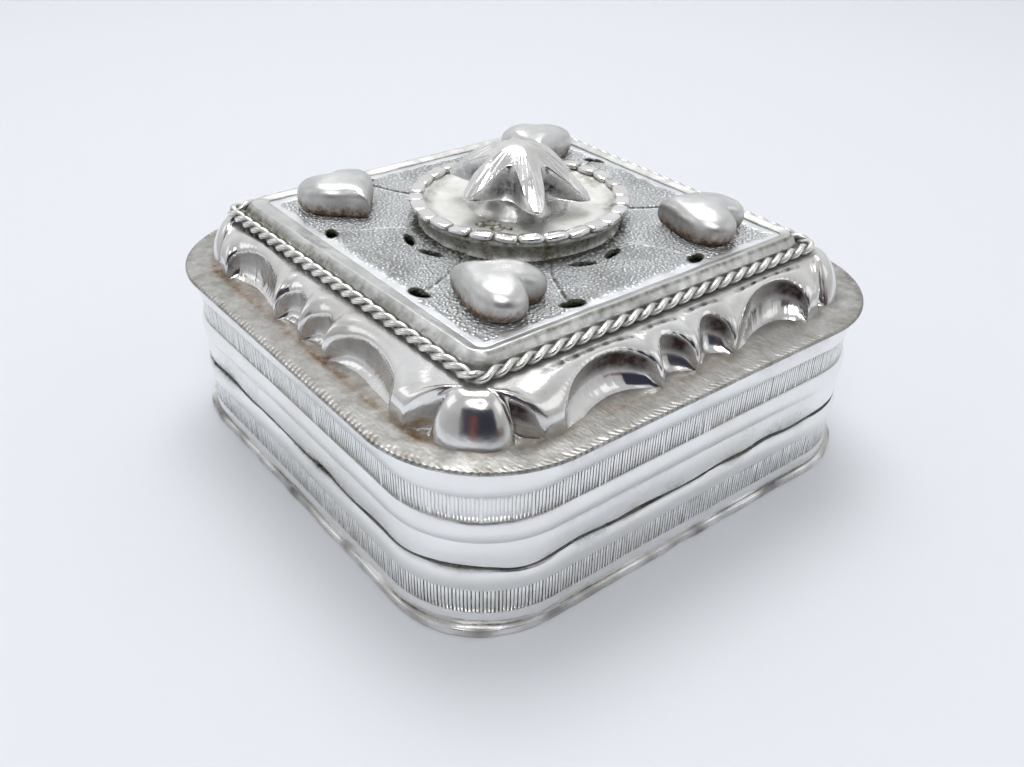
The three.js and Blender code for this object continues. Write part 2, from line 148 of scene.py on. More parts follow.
@dataclass(frozen=True)
class SilverFinish:
    """Sterling silver as old hand-worked boxes show it: hammered and polished, with a grey film and dirt.

    The polish mirrors the room, the film dulls it in cloudy patches, and dirt lies where the piece's own
    grime attribute says that a cloth doesn't reach; the same attribute also paints shade into some hollows
    and under overhangs.

    Attributes:
        name: name of the material.
        bright: colour of polished silver.
        film: colour of the dulled film.
        dirt: colour of the dirt in corners, which also serves as painted shade.
        polish: roughness of the polished metal.
        dull: roughness of the film.
        clouds: size in mm of the film's cloudy patches, and the share of the surface that they take.
        dents: size and depth of the hammer dents, in mm.
        grain: size and depth of the fine scratches and pits, in mm.
        grain_stretch: how many times longer than wide the scratches are.
        speckle: how much the dirt is broken up, from 0 to 1.
        stipple: size and height in mm of raised grains, where the piece's stipple attribute asks for them.
    """

    name: str
    bright: str
    film: str
    dirt: str
    polish: float
    dull: float
    clouds: tuple[float, float]
    dents: tuple[float, float]
    grain: tuple[float, float]
    grain_stretch: float = 1.0
    speckle: float = 0.45
    stipple: tuple[float, float] = (0.0, 0.0)

    def material(self) -> bpy.types.Material:
        """Makes the material once and returns it each time.

        Returns:
            The material of this finish.
        """
        known = bpy.data.materials.get(self.name)
        if known:
            return known
        made = bpy.data.materials.new(self.name)
        made.use_nodes = True
        tree = made.node_tree
        tree.nodes.clear()
        place = add_node(tree, "TexCoord").outputs["Object"]
        film = self._film(tree, place)
        dirt = self._dirt(tree, place)
        blend = {"data_type": "RGBA"}
        metals = {6: linear(self.bright), 7: linear(self.film)}
        silver = add_node(tree, "Mix", blend, metals, {0: film})
        layers = {0: dirt, 6: silver.outputs[2]}
        colour = add_node(tree, "Mix", blend, {7: linear(self.dirt)}, layers)
        polish = {"To Min": self.polish, "To Max": self.dull}
        clean_rough = add_node(tree, "MapRange", None, polish, {"Value": film})
        layers = {"Value": dirt, "To Min": clean_rough.outputs[0]}
        rough = add_node(tree, "MapRange", None, {"To Max": DIRT_ROUGHNESS}, layers)
        shares = {"To Min": 1.0, "To Max": DIRT_METAL}
        metal = add_node(tree, "MapRange", None, shares, {"Value": dirt})
        links = {
            "Base Color": colour.outputs[2],
            "Roughness": rough.outputs[0],
            "Metallic": metal.outputs[0],
            "Normal": self._bump(tree, place),
        }
        shader = add_node(tree, "BsdfPrincipled", links=links)
        add_node(tree, "OutputMaterial", links={"Surface": shader.outputs[0]})
        return made

    def _film(self, tree: Tree, place: Socket) -> Socket:
        """Cloudy mask of the dulled film.

        Args:
            tree: the material's tree.
            place: object coordinates in metres.

        Returns:
            A socket from 0, polished, to 1, dulled.
        """
        size, share = self.clouds
        swells = {"Scale": 1 / (size * MM), "Detail": 5.0, "Roughness": 0.62}
        cloud = add_node(tree, "TexNoise", None, swells, {"Vector": place})
        middle = 0.72 - 0.44 * share
        softness = 0.14
        edges = {"From Min": middle - softness, "From Max": middle + softness}
        return add_node(tree, "MapRange", None, edges, {"Value": cloud.outputs[0]}).outputs[0]

    def _dirt(self, tree: Tree, place: Socket) -> Socket:
        """Mask of the dirt, broken up by a fine noise and by raised grains.

        Args:
            tree: the material's tree.
            place: object coordinates in metres.

        Returns:
            A socket from 0, clean, to 1, covered.
        """
        level = add_node(tree, "Attribute", {"attribute_name": GRIME})
        breaks = {"Scale": 1 / (SPECKLE_MM * MM), "Detail": 3.0, "Roughness": 0.7}
        speckle = add_node(tree, "TexNoise", None, breaks, {"Vector": place})
        least, most = 1 - 1.2 * self.speckle, 1 + 0.8 * self.speckle
        spread = {"From Min": 0.3, "From Max": 0.7, "To Min": least, "To Max": most}
        uneven = add_node(tree, "MapRange", None, spread, {"Value": speckle.outputs[0]})
        product = {"operation": "MULTIPLY", "use_clamp": True}
        layers = {0: level.outputs[2], 1: uneven.outputs[0]}
        cover = add_node(tree, "Math", product, None, layers).outputs[0]
        if not any(self.stipple):
            return cover
        dotted = {"operation": "MULTIPLY_ADD", "use_clamp": True}
        layers = {0: self._grains(tree, place), 2: cover}
        return add_node(tree, "Math", dotted, {1: -0.5}, layers).outputs[0]

    def _grains(self, tree: Tree, place: Socket) -> Socket:
        """Raised grains, close together, where the stipple attribute asks for them.

        Args:
            tree: the material's tree.
            place: object coordinates in metres.

        Returns:
            A socket from -1, between grains, to 0 in the middle of a grain.
        """
        mask = add_node(tree, "Attribute", {"attribute_name": STIPPLE})
        pitch = {"Scale": 1 / (self.stipple[0] * MM)}
        cells = add_node(tree, "TexVoronoi", None, pitch, {"Vector": place})
        eased = {"interpolation_type": "SMOOTHSTEP"}
        sides = {"From Min": 0.2, "From Max": 0.65, "To Min": 0.0, "To Max": -1.0}
        depth = add_node(tree, "MapRange", eased, sides, {"Value": cells.outputs["Distance"]})
        layers = {0: depth.outputs[0], 1: mask.outputs[2]}
        return add_node(tree, "Math", {"operation": "MULTIPLY"}, None, layers).outputs[0]

    def _bump(self, tree: Tree, place: Socket) -> Socket:
        """Hammer dents with fine scratches and pits over them, and raised grains last.

        Args:
            tree: the material's tree.
            place: object coordinates in metres.

        Returns:
            The bumped normal.
        """
        turn = {"Rotation": (0, 0, math.radians(SCRATCH_TURN)), "Scale": (1 / self.grain_stretch, 1, 1)}
        stretched = add_node(tree, "Mapping", None, turn, {"Vector": place}).outputs[0]
        reliefs = []
        for (size, depth), detail, spot in ((self.dents, 1.0, place), (self.grain, 4.0, stretched)):
            swells = {"Scale": 1 / (size * MM), "Detail": detail, "Roughness": 0.6}
            height = add_node(tree, "TexNoise", None, swells, {"Vector": spot})
            reliefs.append((height.outputs[0], depth))
        if any(self.stipple):
            reliefs.append((self._grains(tree, place), self.stipple[1]))
        below: dict[str, Socket] = {}
        for relief, depth in reliefs:
            reach = {"Strength": 1.0, "Distance": depth * MM}
            bump = add_node(tree, "Bump", None, reach, {**below, "Height": relief})
            below = {"Normal": bump.outputs[0]}
        return below["Normal"]


# The border, the pearls and the base plate: rubbed bright, with red-brown tarnish, painted shade and
# painted reflection in the niches, and painted shade under the pearls.
POLISHED = SilverFinish(
    name="polished_silver",
    bright="#f5f5f4",
    film="#dcdad6",
    dirt="#35251f",
    polish=0.1,
    dull=0.22,
    clouds=(5.0, 0.4),
    dents=(2.2, 0.05),
    grain=(0.25, 0.004),
    speckle=0.12,
)
# The rolled strips and the flat sheets: even, with grey lines where the wheel has bitten.
ROLLED = SilverFinish(
    name="rolled_silver",
    bright="#f4f5f5",
    film="#ebeae6",
    dirt="#3b3730",
    polish=0.16,
    dull=0.28,
    clouds=(8.0, 0.35),
    dents=(5.0, 0.07),
    grain=(0.3, 0.006),
)
# The flange: scratched by the graver and by years of use.
ENGRAVED = SilverFinish(
    name="engraved_silver",
    bright="#c8c8c6",
    film="#9a9a96",
    dirt="#6b5030",
    polish=0.26,
    dull=0.42,
    clouds=(1.2, 0.55),
    dents=(1.5, 0.03),
    grain=(0.2, 0.028),
    grain_stretch=2.5,
)
# The panel: grey and matt, punched with dots that hold olive dirt.
OXIDISED = SilverFinish(
    name="oxidised_silver",
    bright="#f2f5f6",
    film="#dde0e4",
    dirt="#4f5046",
    polish=0.3,
    dull=0.46,
    clouds=(2.0, 0.5),
    dents=(1.4, 0.04),
    grain=(0.2, 0.012),
    stipple=(0.31, 0.16),
)
# The hearts: thin sheet pushed up from behind, satin from handling.
PUFFED = SilverFinish(
    name="puffed_silver",
    bright="#eaeae9",
    film="#c6c7c6",
    dirt="#6b5138",
    polish=0.26,
    dull=0.4,
    clouds=(3.0, 0.5),
    dents=(1.7, 0.1),
    grain=(0.25, 0.006),
)
# The frame strip: dull, with olive dirt behind the wire.
DULLED = replace(PUFFED, name="dulled_silver", bright="#e8e9e8", film="#c3c5c3", dirt="#5d583f")
# The star: bright on its ridges, dark between them, where tarnish lies with painted shade and painted
# reflection.
BLACKENED_AND_SHADED = SilverFinish(
    name="blackened_shaded_silver",
    bright="#f5f5f4",
    film="#dddcd8",
    dirt="#26282c",
    polish=0.12,
    dull=0.26,
    clouds=(2.5, 0.45),
    dents=(1.1, 0.06),
    grain=(0.25, 0.012),
)
# The dish: dull and pale, with olive soil and painted shade under its rim.
SOILED = SilverFinish(
    name="soiled_silver",
    bright="#f0f0ed",
    film="#e5e5e1",
    dirt="#575138",
    polish=0.3,
    dull=0.5,
    clouds=(2.0, 0.6),
    dents=(1.5, 0.03),
    grain=(0.25, 0.015),
)
# The twisted wire: drawn, bright on its outside, with painted shade between its strands and underneath.
WIRE = SilverFinish(
    name="drawn_silver_wire",
    bright="#f4f4f1",
    film="#dad9d4",
    dirt="#3a3728",
    polish=0.14,
    dull=0.26,
    clouds=(2.0, 0.4),
    dents=(0.8, 0.01),
    grain=(0.2, 0.004),
)


def deselect_all() -> None:
    """Leaves object mode with nothing selected."""
    if bpy.context.object and bpy.context.object.mode != "OBJECT":
        bpy.ops.object.mode_set(mode="OBJECT")
    bpy.ops.object.select_all(action="DESELECT")


def select_only(piece: Piece) -> None:
    """Makes one object the selected and active one.

    Args:
        piece: the object.
    """
    deselect_all()
    piece.select_set(True)
    bpy.context.view_layer.objects.active = piece


def edit_all() -> None:
    """Goes to edit mode with the whole of the active mesh selected."""
    bpy.ops.object.mode_set(mode="EDIT")
    bpy.ops.mesh.select_all(action="SELECT")


def apply_modifier(piece: Piece, kind: str, settings: dict) -> None:
    """Adds a modifier to the active piece and applies it.

    Args:
        piece: the active object.
        kind: the modifier's type name.
        settings: its properties by name.
    """
    bpy.ops.object.modifier_add(type=kind)
    modifier = piece.modifiers[-1]
    for key, value in settings.items():
        setattr(modifier, key, value)
    bpy.ops.object.modifier_apply(modifier=modifier.name)


def joined(pieces: Sequence[Piece]) -> Piece:
    """Joins pieces into the first of them.

    Args:
        pieces: mesh objects.

    Returns:
        The first piece, with the others in its mesh.
    """
    select_only(pieces[0])
    for piece in pieces[1:]:
        piece.select_set(True)
    bpy.ops.object.join()
    return pieces[0]


def coordinates(piece: Piece) -> Array:
    """Reads the vertices of a piece.

    Args:
        piece: a mesh object.

    Returns:
        One row of x, y and z for each vertex.
    """
    flat = np.zeros(3 * len(piece.data.vertices))
    piece.data.vertices.foreach_get("co", flat)
    return flat.reshape(-1, 3)


def set_coordinates(piece: Piece, points: Array) -> None:
    """Moves the vertices of a piece to new points."""
    piece.data.vertices.foreach_set("co", points.ravel())
    piece.data.update()


def set_level(piece: Piece, level: Array, layer_name: str = GRIME) -> None:
    """Stores a value from 0 to 1 for each vertex, under a name that the piece's material reads."""
    layer = piece.data.attributes.get(layer_name) or piece.data.attributes.new(layer_name, "FLOAT", "POINT")
    layer.data.foreach_set("value", unit(level).astype(np.float32))


def unit(share: Array) -> Array:
    """Keeps shares from 0 to 1."""
    return np.clip(share, 0, 1)


def smooth(share: Array) -> Array:
    """Eases from 0 to 1 as the share goes from 0 to 1, and stays there."""
    kept = unit(share)
    return kept * kept * (3 - 2 * kept)


def bell(gap: Array, width: float) -> Array:
    """Falls off from 1 where there is no gap, to about a third at the width."""
    return np.exp(-((gap / width) ** 2))


def lengths(line: Array) -> Array:
    """Lengths along a line of points, from its first point."""
    return np.concatenate([[0], np.cumsum(np.linalg.norm(np.diff(line, axis=0), axis=1))])


def along_line(line: Array, steps: Array, spots: Array) -> Array:
    """Points of a flat line at given spots, with steps as the lengths along it."""
    return np.column_stack([np.interp(spots, steps, line[:, axis]) for axis in range(2)])


def flowing(corners: Sequence[tuple[float, float]] | Array, count: int) -> Array:
    """Rounds a line through control points and spreads points evenly along it.

    Args:
        corners: control points. The line starts and ends at the first and last.
        count: how many points to return.

    Returns:
        The points of the rounded line.
    """
    line = np.array(corners, dtype=float)
    for _ in range(3):
        near = 0.75 * line[:-1] + 0.25 * line[1:]
        far = 0.25 * line[:-1] + 0.75 * line[1:]
        cut = np.column_stack([near, far]).reshape(-1, 2)
        line = np.concatenate([line[:1], cut, line[-1:]])
    steps = lengths(line)
    return along_line(line, steps, np.linspace(0, steps[-1], count))


def rough_field(points: Array, size: float, offset: float = 0.0) -> Array:
    """Smooth noise over points, about -1 to 1, with swells of a size in mm that the offset picks."""
    start = Vector((offset, 2 * offset, 3 * offset))
    return np.array([noise.noise(Vector(point) / size + start) for point in points])


def clean_up(piece: Piece) -> None:
    """Merges doubled vertices of a closed piece and turns its faces outwards.

    Args:
        piece: a mesh object.
    """
    select_only(piece)
    edit_all()
    bpy.ops.mesh.remove_doubles(threshold=MERGE_GAP)
    bpy.ops.mesh.normals_make_consistent(inside=False)
    bpy.ops.object.mode_set(mode="OBJECT")


def wrapped_grid(name: str, columns: int, rows: int, place: Placing) -> Piece:
    """Adds a grid and wraps it over a surface.

    Args:
        name: name of the piece.
        columns: faces along the first share.
        rows: faces along the second share.
        place: gives points and grime from the two shares, each from 0 to 1.

    Returns:
        The piece, with its seams merged.
    """
    deselect_all()
    bpy.ops.mesh.primitive_grid_add(x_subdivisions=columns, y_subdivisions=rows, size=2)
    piece = bpy.context.object
    piece.name = name
    flat = coordinates(piece)
    points, level = place((flat[:, 0] + 1) / 2, (flat[:, 1] + 1) / 2)
    set_coordinates(piece, points)
    set_level(piece, level)
    clean_up(piece)
    return piece


def copies(name: str, single: Piece, places: Sequence[Matrix]) -> Piece:
    """Repeats a small piece at many places, as one mesh.

    Args:
        name: name of the new piece.
        single: the piece to repeat, which is removed.
        places: one matrix for each copy.

    Returns:
        The new piece.
    """
    points = np.column_stack([coordinates(single), np.ones(len(single.data.vertices))])
    faces = [tuple(face.vertices) for face in single.data.polygons]
    layer = single.data.attributes.get(GRIME)
    level = [item.value for item in layer.data] if layer else [0.0] * len(points)
    every = np.concatenate([(points @ np.array(place).T)[:, :3] for place in places])
    shifts = [index * len(points) for index in range(len(places))]
    mesh = bpy.data.meshes.new(name)
    mesh.from_pydata(every.tolist(), [], [[v + shift for v in face] for shift in shifts for face in faces])
    piece = bpy.data.objects.new(name, mesh)
    bpy.context.scene.collection.objects.link(piece)
    set_level(piece, np.tile(level, len(places)))
    bpy.data.objects.remove(single)
    return piece


def settle(
    piece: Piece,
    body: Body,
    finish: SilverFinish,
    nodes: Sequence[str] = (),
    sharp_angle: float = 45,
) -> None:
    """Shrinks a finished piece to metres, dresses it and hands it to its body.

    Args:
        piece: a mesh modelled in mm at its place.
        body: the body that it moves with.
        finish: its silver.
        nodes: the frame's nodes that it stands for.
        sharp_angle: edges that turn more than this many degrees stay sharp.
    """
    select_only(piece)
    bpy.ops.object.shade_smooth_by_angle(angle=math.radians(sharp_angle))
    piece.data.transform(Matrix.Scale(MM, 4))
    piece.data.materials.clear()
    piece.data.materials.append(finish.material())
    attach(piece, body.value)
    if nodes:
        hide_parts(*nodes)
    LOG.info("%s rides on %s with %d faces", piece.name, body.value, len(piece.data.polygons))


@lru_cache(maxsize=None)
def heights(node: str) -> tuple[float, float]:
    """Lowest and highest level of a node of the frame, in mm."""
    low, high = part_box(node)
    return low.z / MM, high.z / MM


@lru_cache(maxsize=None)
def half_width(node: str) -> float:
    """Half width of a node of the frame, in mm."""
    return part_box(node)[1].x / MM


def drawn(half: float, points: Sequence[tuple[float, float, float]]) -> Array:
    """Closes a section that is drawn inwards from a half width: rows of half width, height and grime."""
    return np.array([(half - inward, z, grime) for inward, z, grime in [*points, points[0]]])


@dataclass(frozen=True)
class TrackPlaces:
    """Places on a track, one row for each.

    Attributes:
        base: plan points of the square through the corner centres.
        normal: outward normals.
        along: lengths along the track from its start.
        offset: lengths from the middle of the nearest side, negative before it.
        side: numbers of the nearest sides: 0 is +X, and the others follow anticlockwise.
    """

    base: Array
    normal: Array
    along: Array
    offset: Array
    side: Array


@dataclass(frozen=True)
class SquareTrack:
    """Rounded square that sections are carried round.

    Attributes:
        centre: half width of the square through the corner centres.
        corner: corner radius at which lengths are measured.
    """

    centre: float
    corner: float

    @property
    def length(self) -> float:
        """Length once round."""
        return 8 * self.centre + 2 * math.pi * self.corner

    def at(self, share: Array) -> TrackPlaces:
        """Finds places on the track.

        Args:
            share: shares of the way round, anticlockwise from the start of the +X side.

        Returns:
            The places.
        """
        length = 2 * self.centre
        quarter = self.length / 4
        along = np.mod(share, 1.0) * self.length
        index = np.floor(along / quarter)
        rest = along - index * quarter
        straight = np.minimum(rest, length) - self.centre
        bend = np.maximum(rest - length, 0) / self.corner
        turn = index * math.pi / 2
        cos, sin = np.cos(turn), np.sin(turn)
        base = np.column_stack([self.centre * cos - straight * sin, self.centre * sin + straight * cos])
        normal = np.column_stack([np.cos(bend + turn), np.sin(bend + turn)])
        past = bend > math.pi / 4
        offset = straight + self.corner * bend - np.where(past, quarter, 0)
        side = np.mod(index + past, 4).astype(int)
        return TrackPlaces(base, normal, along, offset, side)

    def sweep(self, name: str, section: Array, columns: int, shape: Shaping | None = None) -> Piece:
        """Carries a section round the track.

        Args:
            name: name of the piece.
            section: rows of half width, height and grime, with the first row again at the end.
            columns: faces round the track.
            shape: gives moved points and more grime from the points, their lengths along the track and
                their row numbers.

        Returns:
            The swept piece.
        """
        rows = len(section) - 1
        halves, levels, dirt = section.T

        def place(across: Array, up: Array) -> tuple[Array, Array]:
            """Puts the grid's columns round the track and its rows on the section.

            Args:
                across: shares of the way round.
                up: shares of the way along the section.

            Returns:
                Points and grime.
            """
            row = np.rint(up * rows).astype(int)
            spots = self.at(across)
            plan = spots.base + spots.normal * (halves[row] - self.centre)[:, None]
            points = np.column_stack([plan, levels[row]])
            if not shape:
                return points, dirt[row]
            moved, more = shape(points, spots.along, row)
            return moved, dirt[row] + more

        return wrapped_grid(name, columns, rows, place)


@dataclass(frozen=True)
class RolledWall:
    """Rolled strip of the box or of its lid, with its worked bands.

    Attributes:
        node: the frame's node that it stands for.
        body: the body that it moves with.
        bands: the bands from the foot to the top, with their heights in mm.
        seam_at_top: whether the seam of the lid runs along the top, and not along the foot.
        corner: outer corner radius.
        sheet: thickness over the beads.
        plain_depth: how far the plain bands lie behind the beads.
        plain_bulge: how far the plain bands bulge.
        bead_depth: how far the beads bulge.
        mill_depth: how far the floor of the milled bands lies behind the beads.
        rib_pitch: distance between milled ribs.
        rib_gap: width of the cut between ribs.
        rib_rise: height of the ribs over the floor.
        rib_edge: bevel of the ribs.
        rib_excess: how far the ribs reach past their band, above and below together.
        seam_wave: how far the seam's edge wanders.
        seam_reach: how far from the edge its waves and its dirt fade.
        corner_wear: how much of the milling is rubbed away at the corners, from 0 to 1.
        mill_dirt: how dirty the cuts of the milling are, from 0 to 1.
        bead_rows: faces up a bead.
        band_rows: faces up any other band.
    """

    node: str
    body: Body
    bands: tuple[tuple[Band, float], ...]
    seam_at_top: bool
    corner: float = 7.2
    sheet: float = 0.75
    plain_depth: float = 0.2
    plain_bulge: float = 0.06
    bead_depth: float = 0.15
    mill_depth: float = 0.3
    rib_pitch: float = 0.23
    rib_gap: float = 0.05
    rib_rise: float = 0.12
    rib_edge: float = 0.02
    rib_excess: float = 0.06
    seam_wave: float = 0.3
    seam_reach: float = 0.45
    corner_wear: float = 0.1
    mill_dirt: float = 0.85
    bead_rows: int = 12
    band_rows: int = 6

    @property
    def half(self) -> float:
        """Half width over the beads."""
        return half_width(self.node)

    @property
    def track(self) -> SquareTrack:
        """The wall's track, at the beads."""
        return SquareTrack(self.half - self.corner, self.corner)

    def section(self) -> Array:
        """Draws the section from the outer foot up over the bands and down the inside.

        Returns:
            The closed section.
        """
        low, high = heights(self.node)
        points: list[tuple[float, float, float]] = []
        foot = low
        for band, height in self.bands:
            rows = self.bead_rows if band is Band.BEAD else self.band_rows
            for share in (row / rows for row in range(rows + 1)):
                edge = math.exp(-20 * min(share, 1 - share))
                swell = math.sin(math.pi * share)
                if band is Band.BEAD:
                    depth, grime = self.bead_depth * (1 - swell**0.8), 0.12 * edge
                elif band is Band.MILLED:
                    depth, grime = self.mill_depth, self.mill_dirt
                else:
                    depth, grime = self.plain_depth - self.plain_bulge * swell, 0.03 + 0.15 * edge
                points.append((depth, foot + height * share, grime))
            foot += height
        return drawn(self.half, [*points, (self.sheet, high, 0.4), (self.sheet, low, 0.4)])

    def _wander(self, points: Array, along: Array, _row: Array) -> tuple[Array, Array]:
        """Lets the seam wander up and down, with dirt beside it in patches, and paints shade under the
        flange at the top of the lid's wall.

        Args:
            points: swept points.
            along: lengths along the track.
            _row: row numbers in the section, which make no difference here.

        Returns:
            The moved points, and their extra grime and painted shade.
        """
        low, high = heights(self.node)
        z = points[:, 2]
        near = np.exp(-np.abs(z - (high if self.seam_at_top else low)) / self.seam_reach)
        turn = 2 * math.pi * along / self.track.length
        loop = np.column_stack([np.cos(turn), np.sin(turn), np.zeros_like(turn)])
        drop = self.seam_wave * (0.5 - 0.5 * np.clip(1.6 * rough_field(loop * 6, 1.0), -1, 1))
        ragged = 0.04 * unit(rough_field(loop * 30, 1.0, 5.0))
        patches = unit(0.25 + 1.4 * rough_field(points, 2.5, 3.0))
        if self.seam_at_top:
            drop = drop + ragged
            foot = np.exp(-(z - low) / 0.2)
            dirt = 0.75 * near**1.5 * patches + foot * (0.3 + 0.7 * patches)
        else:
            closed = unit(0.5 + 1.3 * rough_field(loop * 5, 1.0, 7.0))
            drop = drop - ragged + 0.2 * closed
            # Dirt along the seam in patches, and painted shade under the flange, fading down from the top
            # of the wall.
            dirt = 0.75 * near * patches + 0.4 * np.exp((z - high) / 0.5)
        moved = points.copy()
        moved[:, 2] -= drop * near
        return moved, dirt - 0.7 * self._wear(points)

    def _wear(self, points: Array) -> Array:
        """Finds how much of the milling is rubbed away, at the corners and in patches.

        Args:
            points: points of the wall.

        Returns:
            Shares from 0 to 1.
        """
        corner = smooth((np.min(np.abs(points[:, :2]), axis=1) - self.half + self.corner + 1) / 4)
        patches = np.clip(1.1 * rough_field(points, 6.0, 8.0) - 0.1, 0, 0.6)
        return np.clip(self.corner_wear * corner + patches, 0, 0.9)

    def _rib(self, height: float) -> Piece:
        """Models one milled rib, lying along X, facing +Y, with dirt on its sides.

        Args:
            height: height of the rib.

        Returns:
            The rib.
        """
        deselect_all()
        bpy.ops.mesh.primitive_cube_add(size=1)
        rib = bpy.context.object
        rib.scale = (self.rib_pitch - self.rib_gap, 2 * self.rib_rise, height)
        bpy.ops.object.transform_apply(location=False, rotation=False, scale=True)
        edit_all()
        bpy.ops.mesh.bevel(offset=self.rib_edge, segments=1, affect="EDGES")
        bpy.ops.object.mode_set(mode="OBJECT")
        behind = coordinates(rib)[:, 1] < self.rib_rise - self.rib_edge / 2
        set_level(rib, np.where(behind, 0.8 * self.mill_dirt, 0.0))
        return rib

    def _milling(self, name: str, low: float, high: float) -> Piece:
        """Sets ribs all round one milled band, a little unevenly as by a hand-held wheel.

        Args:
            name: name of the piece.
            low: foot of the band.
            high: top of the band.

        Returns:
            The ribs as one piece.
        """
        floor = self.half - self.mill_depth
        track = SquareTrack(self.track.centre, floor - self.track.centre)
        count = round(track.length / self.rib_pitch)
        draw = np.random.default_rng(SEED)
        shares = (np.arange(count) + draw.uniform(-0.05, 0.05, count)) / count
        spots = track.at(shares)
        spread = draw.uniform(0.95, 1.08, count)
        line = spots.base + spots.normal * track.corner
        wear = self._wear(np.column_stack([line, np.full(count, (low + high) / 2)]))
        rise = draw.uniform(-0.02, 0.0, count) - 0.8 * self.rib_rise * wear
        places = []
        for point, out, wide, up in zip(line, spots.normal, spread, rise):
            turn = Matrix.Rotation(math.atan2(out[1], out[0]) - math.pi / 2, 4, "Z")
            spot = Matrix.Translation((*(point + out * up), (low + high) / 2))
            places.append(spot @ turn @ Matrix.Diagonal((wide, 1, 1, 1)))
        return copies(name, self._rib(high - low + self.rib_excess), places)

    def build(self) -> None:
        """Models and dresses the wall and its milled ribs."""
        columns = round(self.track.length / STRIP_STEP)
        wall = self.track.sweep(f"{self.node}_strip", self.section(), columns, self._wander)
        settle(wall, self.body, ROLLED, [self.node], 40)
        foot = heights(self.node)[0]
        for band, height in self.bands:
            if band is Band.MILLED:
                ribs = self._milling(f"{self.node}_milling", foot, foot + height)
                settle(ribs, self.body, ROLLED)
            foot += height


def rounded_plate(name: str, node: str, corner: float, lip: float) -> Piece:
    """Models a flat plate with rounded corners and rounded edges, as large as a node of the frame.

    Args:
        name: name of the plate.
        node: the frame's node that gives its width and its heights.
        corner: corner radius.
        lip: radius of the rounded edges.

    Returns:
        The plate.
    """
    low, high = heights(node)
    deselect_all()
    bpy.ops.mesh.primitive_plane_add(size=2 * half_width(node), location=(0, 0, low))
    plate = bpy.context.object
    plate.name = name
    bpy.ops.object.transform_apply(location=True, rotation=False, scale=False)
    bpy.ops.object.mode_set(mode="EDIT")
    bpy.ops.mesh.select_mode(type="EDGE")
    bpy.ops.mesh.select_all(action="SELECT")
    bpy.ops.mesh.bevel(offset=corner, segments=32, affect="VERTICES")
    bpy.ops.mesh.select_all(action="DESELECT")
    bpy.ops.object.mode_set(mode="OBJECT")
    points = coordinates(plate)
    for edge in plate.data.edges:
        edge.select = bool(np.linalg.norm(np.subtract(*points[list(edge.vertices)])) > corner)
    bpy.ops.object.mode_set(mode="EDIT")
    bpy.ops.mesh.subdivide(number_cuts=60)
    bpy.ops.mesh.select_all(action="SELECT")
    bpy.ops.mesh.extrude_region_move(TRANSFORM_OT_translate={"value": (0, 0, high - low)})
    bpy.ops.mesh.select_all(action="SELECT")
    bpy.ops.mesh.normals_make_consistent(inside=False)
    bpy.ops.object.mode_set(mode="OBJECT")
    rounding = {"width": lip, "segments": 3, "limit_method": "ANGLE", "angle_limit": math.radians(60)}
    apply_modifier(plate, "BEVEL", rounding)
    return plate


@dataclass(frozen=True)
class BoxBottom:
    """Base plate, with its hand-cut edge and traces of solder, and the bezel that guides the lid.

    Attributes:
        corner: corner radius of the base plate.
        lip: rounding of its edges.
        ragged: how far its edge wanders inwards.
        bezel_sheet: thickness of the bezel.
        bezel_corner: outer corner radius of the bezel.
        bezel_columns: faces round the bezel.
    """

    corner: float = 6.6
    lip: float = 0.14
    ragged: float = 0.22
    bezel_sheet: float = 0.5
    bezel_corner: float = 6.25
    bezel_columns: int = 240

    def build(self) -> None:
        """Models and dresses both pieces."""
        plate = rounded_plate("base_sheet", "base_plate", self.corner, self.lip)
        points = coordinates(plate)
        half = half_width("base_plate")
        rim = np.max(np.abs(points[:, :2]), axis=1) > half - self.corner
        pull = 1 - self.ragged / half * (0.5 + 0.5 * rough_field(points, 2.2))
        points[:, :2] *= np.where(rim, pull, 1)[:, None]
        set_coordinates(plate, points)
        set_level(plate, 0.3 + 0.8 * rough_field(points, 1.6, 4.0))
        settle(plate, Body.BOX, POLISHED, ["base_plate"], 50)

        low, high = heights("inner_bezel")
        half = half_width("inner_bezel")
        sheet = self.bezel_sheet
        outer = [(0, low, 0.5), (0, low + 0.6, 0.1), (0, high - 0.5, 0), (0.05, high - 0.12, 0)]
        top = [(0.15, high, 0), (sheet - 0.12, high, 0)]
        inner = [(sheet, high - 0.1, 0), (sheet, low + 1.0, 0.1), (sheet, low, 0.6)]
        section = drawn(half, outer + top + inner)
        track = SquareTrack(half - self.bezel_corner, self.bezel_corner)
        bezel = track.sweep("bezel_strip", section, self.bezel_columns)
        settle(bezel, Body.BOX, ROLLED, ["inner_bezel"], 40)


@dataclass(frozen=True)
class Niche:
    """One niche of the border.

    Attributes:
        start: place of its first end, from the middle of the side.
        deepest: place where it goes in furthest.
        end: place of its last end.
        depth: how far it goes in, as a share of the border's width.
        start_power: how steeply it sinks after its start: 1 is even, and more is steeper.
        end_power: how steeply it rises before its end.
        start_ease: how softly it leaves its start: 1 leaves a crisp fold, and more a round one.
        end_ease: how softly it reaches its end.
    """

    start: float
    deepest: float
    end: float
    depth: float
    start_power: float = 2.0
    end_power: float = 2.0
    start_ease: float = 1.0
    end_ease: float = 1.0

    def at(self, place: float) -> float:
        """Finds how deep the niche is at a place.

        Args:
            place: place along the side, from its middle.

        Returns:
            The depth, as a share of the border's width.
        """
        if not self.start < place < self.end:
            return 0.0
        if place < self.deepest:
            share = (self.deepest - place) / (self.deepest - self.start)
            return self.depth * (1 - share**self.start_power) ** self.start_ease
        share = (place - self.deepest) / (self.end - self.deepest)
        return self.depth * (1 - share**self.end_power) ** self.end_ease

    def stain_and_shade(self, place: float) -> float:
        """How far tarnish and painted shade cover the back at a place: little at the start, most at the
        end.
        """
        inside = self.start < place < self.end
        return float(smooth(1.5 * (place - self.start) / (self.end - self.start) - 0.2)) if inside else 0.0


